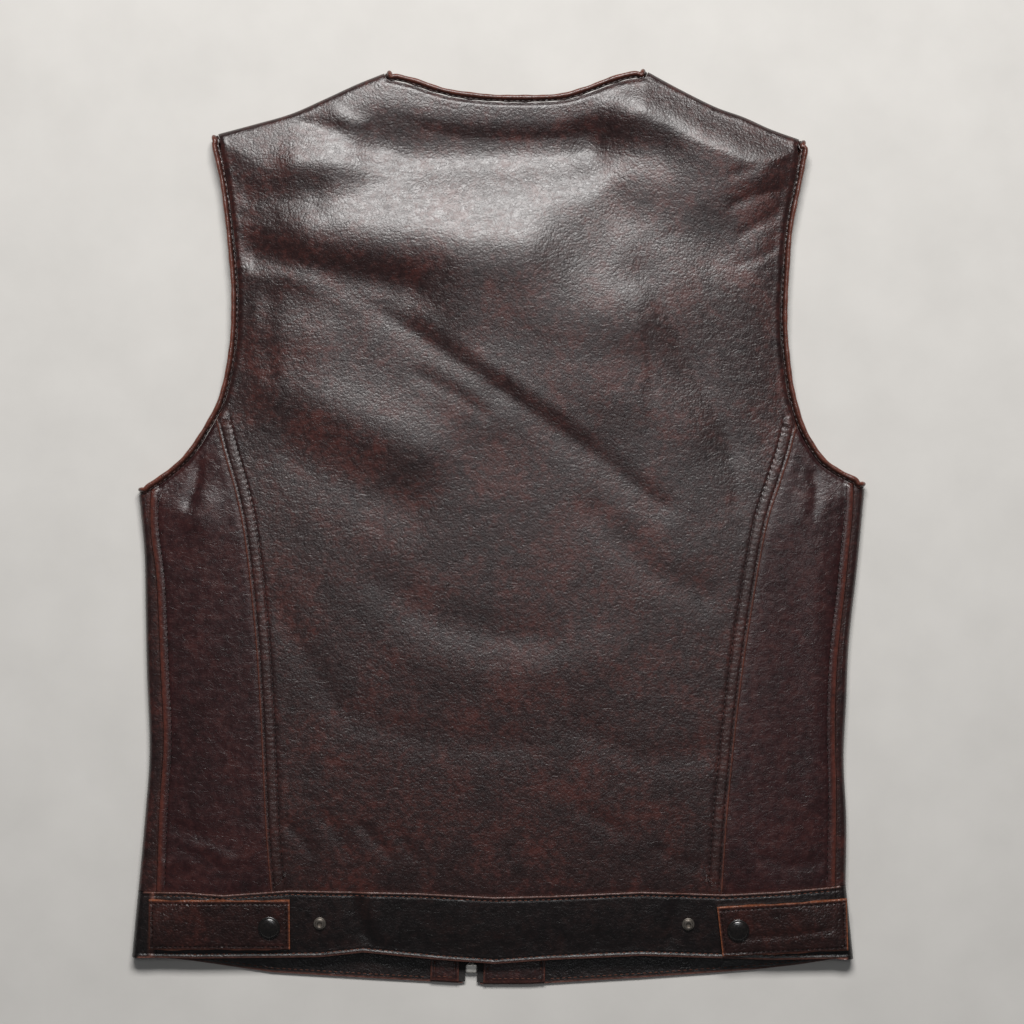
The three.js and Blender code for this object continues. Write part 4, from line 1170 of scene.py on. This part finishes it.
def make_binding(name, controls, toward_rim, closed):
    """The rolled section carried along the edge, a little thicker and thinner by turns."""
    path, out, places = resampled(controls, binding_point_step, closed)
    way = np.roll(path, -1, 0) - np.roll(path, 1, 0)
    if not closed:
        way[0], way[-1] = path[1] - path[0], path[-1] - path[-2]
    way /= np.linalg.norm(way, axis=1)[:, None]
    out = out - (out * way).sum(1)[:, None] * way
    out /= np.linalg.norm(out, axis=1)[:, None]
    aside = np.cross(way, out) * toward_rim
    path[:, 2] = np.maximum(path[:, 2], bead_middle)
    wave = 0.06 * np.sin(places * 2 * math.pi / 37) + 0.05 * np.sin(places * 2 * math.pi / 13.7)
    section = aside[:, None] * rolled_section[None, :, :1] + out[:, None] * rolled_section[None, :, 1:]
    rings = path[:, None] + (1 + wave)[:, None, None] * section
    rings[..., 2] = np.maximum(rings[..., 2], off_surface)
    count, around = rings.shape[:2]
    numbers = ring_numbers(count, around)
    points = rings.reshape(-1, 3)
    marks = {"rub": np.tile(rolled_rub, count), "row": np.tile(rolled_row, count),
             "phase": np.repeat(places * 2 * math.pi / stitch_pitch, around)}
    if closed:
        faces = grid_faces(np.concatenate([numbers, numbers[:1]])).reshape(-1, 4)
    else:
        faces = closed_off(numbers, len(points))
        points = np.concatenate([points, path[:1], path[-1:]])
        marks = {label: np.concatenate([values, values[:2]]) for label, values in marks.items()}
    return mesh_object(name, points, faces, rolled_hide, marks, sharp=80), (path, out, aside)


# Adjuster tabs

tab_middle = band_step + band_thick / 2 + tab_gap + tab_thick / 2


def make_tab(side):
    """Two layers of leather, cut with raw edges that have rubbed orange."""
    corners = tab_corners[side]
    foot_ends, head_ends = np.asarray(corners["foot"], float), np.asarray(corners["head"], float)
    across, upward = graded(tab_span, 5, 0.6, 1.6), graded(tab_height, 5, 0.6, 1.6)
    foot = foot_ends[0] + (foot_ends[1] - foot_ends[0]) * across[:, None]
    head = head_ends[0] + (head_ends[1] - head_ends[0]) * across[:, None]
    plan = band_grid(foot, head, upward)
    wavy = 0.35 * np.sin(plan[..., 0] / 9.0) + 0.25 * np.sin(plan[..., 0] / 3.7 + 1)
    edge_fade = (np.abs(upward - 0.5) * 2) ** 4
    plan[..., 1] += wavy * edge_fade[None]
    left_end = tab_edge if side == "right" else tab_sewn
    edges = [(head, tab_edge), (plan[0], left_end), (plan[-1], tab_edge), (foot, tab_sewn)]
    lift, marks = edge_relief(plan, edges)
    x, y = plan[..., 0], plan[..., 1]
    height = top_height(x, y) + tab_middle + np.maximum(lift, -1.0) * 0.6 + crease_height(tab_creases, x, y)
    cap_x, cap_y = cap_places[side]
    height = height - 0.35 * bell((np.hypot(x - cap_x, y - cap_y) - pressed_ring) / 3.5)
    return cloth_wall("tab_leather_" + side, in_space(plan, height), tab_thick, tab_hide, marks)


def tab_edge(away):
    """A raw edge, worn back to bare hide, with stitches beside it."""
    lift = -turned_round(away, 0.9) - 0.45 * bell((away - tab_row) / 0.8)
    return lift, 1.25 * bell(away / 0.7), 0.3 * bell((away - tab_row) / 1.3)


def tab_sewn(away):
    """The tab's edge where it is turned in: as the raw one, but hardly rubbed."""
    lift, _, row = tab_edge(away)
    return lift, 0.2 * bell(away / 0.7), row


# Snaps

cap_radius, cap_height, cap_rim, pressed_ring = 8.2, 3.2, 1.1, 8.0
stud_radius, stud_flange, stud_ring, stud_hollow, stud_height = 4.6, 0.8, 3.2, 1.9, 3.0
cap_places = {"left": (-170.0, -295.0), "right": (175.5, -297.0)}
stud_places = {"left": (-133.0, -292.5), "right": (139.0, -293.0)}
snap_clearance = 0.45


def lathe(name, profile, x, y, seat, material, around=56):
    """A profile of radius and height, turned round the cloth's way out at x, y."""
    step = 6.0
    near = top_height(np.array([x + step, x - step, x, x, x]), np.array([y, y, y + step, y - step, y]))
    normal = np.array([(near[1] - near[0]) / (2 * step), (near[3] - near[2]) / (2 * step), 1.0])
    normal /= np.linalg.norm(normal)
    aside = np.cross([0.0, 1.0, 0.0], normal)
    aside /= np.linalg.norm(aside)
    ahead = np.cross(normal, aside)
    angle = np.arange(around) * 2 * math.pi / around
    spokes = np.cos(angle)[:, None] * aside + np.sin(angle)[:, None] * ahead
    profile = np.asarray(profile, float)
    inner = profile[1:-1]
    centre = np.array([x, y, near[4] + seat]) + normal * snap_clearance
    rings = centre + inner[:, None, :1] * spokes[None] + inner[:, None, 1:] * normal
    points = np.concatenate([rings.reshape(-1, 3), centre[None] + profile[0, 1] * normal,
                             centre[None] + profile[-1, 1] * normal])
    faces = closed_off(ring_numbers(len(inner), around), len(inner) * around)
    return mesh_object(name, points, faces, material, sharp=34)


def dome_profile(radius, base, top, count):
    """Quarter of an ellipse, from a rim at the base to the middle at the top."""
    return [(radius * math.cos(angle), base + (top - base) * math.sin(angle))
            for angle in np.linspace(0, math.pi / 2, count + 1)]


def make_cap(side):
    """Low dome with a rolled rim and a faint ring pressed round it."""
    profile = [(0, 0), (cap_radius - 0.5, 0.0), (cap_radius - 0.1, 0.25), (cap_radius, 0.55),
               (cap_radius - 0.12, 0.9), (cap_radius - 0.45, cap_rim), (cap_radius - 0.8, cap_rim + 0.08)]
    profile += dome_profile(cap_radius - 1.0, cap_rim + 0.12, cap_height, 12)
    return lathe("cap_" + side, profile, *cap_places[side], tab_middle + tab_thick / 2, cap_enamel)


def make_stud(side):
    """Flange with a raised ring, hollow in the middle."""
    profile = [(0, 0), (stud_radius - 0.2, 0), (stud_radius, 0.2), (stud_radius, 0.5),
               (stud_radius - 0.3, stud_flange), (stud_ring + 0.35, stud_flange),
               (stud_ring, stud_flange + 0.3), (stud_ring + 0.12, stud_height - 0.9),
               (stud_ring + 0.1, stud_height - 0.4),
               (stud_ring - 0.25, stud_height), (stud_hollow + 0.3, stud_height),
               (stud_hollow, stud_height - 0.3), (stud_hollow - 0.1, stud_flange), (0, stud_flange)]
    return lathe("stud_" + side, profile, *stud_places[side], band_step + band_thick / 2, stud_metal, 40)


# Zip metal

def rounded_block(size, centre, round_by, steps=6):
    """Points and faces of a block with rounded corners: a cube's grid drawn in, then pushed back out."""
    size, centre = np.asarray(size, float), np.asarray(centre, float)
    points, faces = [], []
    share = np.linspace(-1, 1, steps + 1)
    share = np.sign(share) * np.abs(share) ** 0.55
    a, b = np.meshgrid(share, share, indexing="ij")
    numbers = np.arange((steps + 1) ** 2).reshape(steps + 1, steps + 1)
    for axis in range(3):
        for sign in (-1, 1):
            face = np.empty((steps + 1, steps + 1, 3))
            face[..., axis] = sign
            face[..., (axis + 1) % 3] = a * sign
            face[..., (axis + 2) % 3] = b
            faces.append(grid_faces(numbers).reshape(-1, 4) + len(points) * (steps + 1) ** 2)
            points.append(face.reshape(-1, 3))
    cube = np.concatenate(points) * size / 2
    core = np.clip(cube, -(size / 2 - round_by), size / 2 - round_by)
    out = cube - core
    out /= np.maximum(np.linalg.norm(out, axis=1), 1e-9)[:, None]
    return core + out * round_by + centre, np.concatenate(faces)


def welded(points, faces):
    """Joins points that lie in one place, so that a block's sides share their edges."""
    _, first, numbers = np.unique(np.round(points, 4), axis=0, return_index=True, return_inverse=True)
    return points[first], numbers.reshape(-1)[faces]


def along_zip(points):
    """Turns a shape made round 0, 0 on to the zip's slight lean, at its own height along the zip."""
    lean = (zip_head[0] - zip_foot[0]) / (zip_head[1] - zip_foot[1])
    moved = points.copy()
    moved[:, 0] = points[:, 0] + zip_x(points[:, 1])
    moved[:, 1] = points[:, 1] - lean * points[:, 0]
    return moved


def make_box():
    """The zip's retainer box: a rounded block across the feet of both tapes."""
    points, faces = welded(*rounded_block((8, 6, 3.6), (0, zip_foot[1] + 3, tape_middle), 0.55, 8))
    return mesh_object("retainer_box", along_zip(points), faces, box_nickel, sharp=60)


def make_teeth():
    """Two rows of metal teeth that lock: short bars with a waist, the rows half a pitch apart."""
    count = int((teeth_to - teeth_from) / tooth_pitch)
    tooth, tooth_faces = welded(*rounded_block((3.4, 1.5, 2.3), (0, 0, 0), 0.35, 3))
    waist = 1 - 0.28 * bell((tooth[:, 0] - 0.4) / 0.6)
    tooth[:, 1] *= waist
    rows = []
    for sign in (-1, 1):
        y = teeth_from + (np.arange(count) + (0.25 if sign > 0 else 0.75)) * tooth_pitch
        shape = tooth * [-sign, 1, 1] + [sign * 1.1, 0, 0]
        lifted = tape_middle + lower_lift(zip_x(y), y)
        rows.append(shape[None] + np.stack([np.zeros(count), y, lifted], axis=1)[:, None])
    every = np.concatenate(rows)
    faces = tooth_faces[None] + (np.arange(len(every)) * len(tooth))[:, None, None]
    faces[:count] = faces[:count][..., ::-1]
    both = faces if signed_volume(every[-1], tooth_faces) > 0 else faces[..., ::-1]
    return mesh_object("zip_teeth", along_zip(every.reshape(-1, 3)), both.reshape(-1, tooth_faces.shape[1]),
                       zip_nickel, sharp=60)


# Stitches

thread_sides = 6
along_stitch = np.linspace(-1, 1, 6)


def stitch_places(line, starts, length):
    """Each stitch's places along a line, as rows of the line's own columns."""
    measured = np.concatenate([[0], np.cumsum(np.linalg.norm(np.diff(line[:, :3], axis=0), axis=1))])
    reach = starts[:, None] + along_stitch[None] * length / 2
    return np.stack([np.interp(reach, measured, line[:, k]) for k in range(line.shape[1])], axis=-1)


def stitch_rise(proud, sunk):
    """A stitch's bow, along it: proud of the cloth in the middle, and its ends go in."""
    return proud * (1 - along_stitch ** 2) - sunk * np.abs(along_stitch) ** 5


def capsules(centre, side_way, up):
    """Points and faces of stitches: rings round rows of middle points, that narrow to closed ends."""
    angle = np.arange(thread_sides) * 2 * math.pi / thread_sides
    size = thread_thick / 2 * np.sqrt(np.maximum(1 - np.abs(along_stitch) ** 4, 0.06))
    rings = (centre[:, :, None] + (np.cos(angle) * size[:, None])[None, ..., None] * side_way
             + (np.sin(angle) * size[:, None])[None, ..., None] * up)
    each = len(along_stitch) * thread_sides
    wall = grid_faces(ring_numbers(len(along_stitch), thread_sides)).reshape(-1, 4)
    ends = [[0, 1, 2, 3], [0, 3, 4, 5], [33, 32, 31, 30], [35, 34, 33, 30]]
    faces = np.concatenate([wall, ends])[None] + (np.arange(len(centre)) * each)[:, None, None]
    return rings.reshape(-1, 3), faces.reshape(-1, 4)


def thread_run(line, out_height, pitch=stitch_pitch, length=stitch_length):
    """Points and faces of one row of stitches, on a surface whose height a function gives."""
    line = np.asarray(line, float)
    total = polyline_length(line)
    count = int(total / pitch)
    plan = stitch_places(line, (np.arange(count) + 0.5) * pitch + (total - count * pitch) / 2, length)
    centre = in_space(plan, out_height(plan) + stitch_rise(0.16, 0.62))
    way = plan[:, -1] - plan[:, 0]
    way /= np.linalg.norm(way, axis=1)[:, None]
    aside = np.stack([-way[:, 1], way[:, 0], np.zeros(count)], axis=1)
    return capsules(centre, aside[:, None, None], up_way)


def thread_object(name, runs, material=seam_thread):
    """One piece of all these rows of stitches."""
    points, faces, before = [], [], 0
    for run_points, run_faces in runs:
        points.append(run_points)
        faces.append(run_faces + before)
        before += len(run_points)
    return mesh_object(name, np.concatenate(points), np.concatenate(faces), material, sharp=80)


def on_panel(panel, thickness):
    """The height of a top panel's upper face, as a function of the place."""
    return lambda plan: surface_of(panel, plan)[0] + thickness / 2


def body_threads():
    """Two rows beside each princess seam and one beside each side seam."""
    runs, sewn = [], np.linspace(0.01, 0.985, 160)
    for side in sides:
        princess, seam = princess_line(side, sewn), side_seam_line(side, sewn)
        for line, away, panel in ((princess, first_row, "back"), (princess, second_row, "back"),
                                  (seam, side_row, "side " + side)):
            row_line = moved_sideways(line, outward[side] * away)
            runs.append(thread_run(row_line, on_panel(panel, leather_thick)))
    return thread_object("thread_body", runs)


def band_threads():
    """Rows along the top and foot of the back's waistband."""
    runs = []
    places = np.linspace(*band_thread_ends, 200)
    for table, away in ((band_top, -band_row), (band_foot, band_row)):
        line = np.stack([places, height_along(table, places) + away], axis=1)
        runs.append(thread_run(line, on_panel("waistband", band_thick)))
    return thread_object("thread_band", runs, hem_thread)


def tab_seat(plan):
    """Height of a tab's upper face."""
    x, y = plan[..., 0], plan[..., 1]
    return top_height(x, y) + tab_middle + tab_thick / 2 - 0.1 + crease_height(tab_creases, x, y)


def tab_threads():
    """One row round each tab, inside its edges."""
    runs = []
    for side in sides:
        corners = np.array(tab_corners[side]["foot"] + tab_corners[side]["head"][::-1], float)
        drawn_in = corners + np.sign(corners.mean(0) - corners) * tab_row
        for start, end in zip(drawn_in, np.roll(drawn_in, -1, 0)):
            runs.append(thread_run([start, end], tab_seat, tab_stitch_pitch, tab_stitch_length))
    return thread_object("thread_tabs", runs)


def on_lower(height):
    """The height of a lower layer's upper face, as a function of the place."""
    return lambda plan: height + lower_lift(plan[..., 0], plan[..., 1])


def above_hem(x, further_in):
    """A row that follows the fronts' hem, as far in as the waistband's row and further."""
    return np.stack([x, height_along(front_hem, x) + further_in + band_row], axis=1)


def front_threads():
    """Rows round the inside of the hem and beside the facings, as they show under the back's hem."""
    runs = []
    on_band = on_lower(band_thick + 0.02)
    on_facing = on_lower(tape_middle + tape_thick / 2 + seam_gap + leather_thick + 0.1)
    foot_x = zip_x(zip_foot[1])
    for side in sides:
        facing_edge = facing_to_zip + facing_width[side]
        hem_from = foot_x + outward[side] * (facing_edge + facing_row)
        runs.append(thread_run(above_hem(np.linspace(hem_from, hem_thread_end[side], 120), 0), on_band))
        for away in (facing_to_zip + facing_row, facing_edge - facing_row):
            y = np.linspace(zip_foot[1], facing_top - 4, 200)
            runs.append(thread_run(np.stack([zip_x(y) + outward[side] * away, y], axis=1), on_facing))
        across = np.linspace(facing_to_zip + 3.5, facing_edge - 3.5, 12)
        runs.append(thread_run(above_hem(foot_x + outward[side] * across, hem_turn), on_facing))
    return thread_object("thread_front", runs, hem_thread)


def binding_threads(name, path, out, aside):
    """Stitches in the binding's groove, on the side that faces out."""
    starts = (np.arange(int(polyline_length(path) / stitch_pitch)) + 0.5) * stitch_pitch
    rows = stitch_places(np.concatenate([path, out, aside], axis=1), starts, stitch_length)
    middle, up, side_way = rows[..., :3], rows[..., 3:6], rows[..., 6:]
    centre = middle + side_way * groove_place[0] + up * groove_place[1]
    centre = centre + up * stitch_rise(0.12, 0.6)[None, :, None]
    return thread_object(name, [capsules(centre, side_way[:, :, None], up[:, :, None])])


# Camera, light and the surface

def make_camera():
    """Straight down from 2 m, through a long lens, its up side towards the neck."""
    distance, frame_side, sensor, cloth_level = 2.0, 0.7578, 36, 0.012
    made = bpy.data.objects.new("camera", bpy.data.cameras.new("camera"))
    collection.objects.link(made)
    made.location = (0.0097, 0.0117, distance)
    made.data.sensor_width = sensor
    made.data.lens = sensor * (distance - cloth_level) / frame_side
    made.data.clip_end = 20
    bpy.context.scene.camera = made


def make_light(name, place, at, size, power, color):
    made = bpy.data.objects.new(name, bpy.data.lights.new(name, "AREA"))
    collection.objects.link(made)
    made.data.shape = "RECTANGLE"
    made.data.size, made.data.size_y = size
    made.data.energy = power
    made.data.color = color
    made.location = place
    made.rotation_euler = (Vector(at) - made.location).to_track_quat("-Z", "Y").to_euler()


def make_surroundings():
    """A broad window light from the neck's side, a weak fill from above and a pale tabletop."""
    make_light("window", (0.05, 1.42, 1.88), (0, 0.05, 0), (1.2, 0.6), 60, (1.0, 0.98, 0.965))
    make_light("high fill", (0.12, 0.26, 2.2), (0, 0.05, 0), (0.7, 0.35), 3, (0.96, 0.98, 1.0))
    world = bpy.data.worlds.new("studio")
    world.use_nodes = True
    background = world.node_tree.nodes["Background"]
    background.inputs["Color"].default_value = (0.85, 0.87, 0.9, 1)
    background.inputs["Strength"].default_value = 0.08
    bpy.context.scene.world = world
    bpy.context.scene.view_settings.view_transform = "Standard"
    mesh = bpy.data.meshes.new("tabletop")
    reach, drop = 3.0, 0.0002
    mesh.from_pydata([(-reach, -reach, 0), (reach, -reach, 0), (reach, reach, 0), (-reach, reach, 0)], [],
                     [(0, 1, 2, 3)])
    mesh.materials.append(pale_floor("pale matt tabletop"))
    floor = bpy.data.objects.new("tabletop", mesh)
    floor.location.z = -drop
    collection.objects.link(floor)


# Putting the vest together


def dress(piece, slot, *nodes, body="vest"):
    """States what the piece moves with and the nodes that it takes the place of. The slot argument is not
    used.
    """
    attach(piece, body)
    if nodes:
        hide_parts(*nodes)
    return piece


make_camera()
make_surroundings()

dress(make_back(), "body_leather", "back")
dress(make_back_band(), "waist_leather", "back_waistband")
for photo_side in sides:
    dress(make_side_panel(photo_side), "side_leather", "side_panel_" + photo_side)
    dress(make_front(photo_side), "body_leather", "front_" + photo_side)
    dress(make_front_band(photo_side), "waist_leather", "front_waistband_" + photo_side)
    dress(make_facing(photo_side), "body_leather", "front_facing_" + photo_side)
    dress(make_tape(photo_side), "zip_cloth", "zip_tape_" + photo_side)
    dress(make_tab(photo_side), "tab_leather", "tab_" + photo_side)
    dress(make_cap(photo_side), "snap_metal", "snap_cap_" + photo_side)
    dress(make_stud(photo_side), "stud_metal", "snap_stud_" + photo_side)


def bind(name, controls, toward_rim, closed, node):
    """Makes a binding and the stitches in its groove."""
    binding, (path, out, aside) = make_binding(name, controls, toward_rim, closed)
    dress(binding, "rolled_leather", node)
    dress(binding_threads("thread_" + name, path, out, aside), "rolled_leather")


bind("neck_roll", neck_controls(), -1, False, "neck_binding")
bind("armhole_roll_left", armhole_controls("left"), 1, True, "armhole_binding_left")
bind("armhole_roll_right", armhole_controls("right"), -1, True, "armhole_binding_right")
for threads in (body_threads(), band_threads(), tab_threads(), front_threads()):
    dress(threads, "body_leather")
dress(make_box(), "box_metal", "zip_box")
dress(make_teeth(), "zip_metal", "zip_chain")
for kept in ("zip_slider", "zip_pull"):
    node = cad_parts[kept]
    node.data.materials.clear()
    node.data.materials.append(zip_nickel)
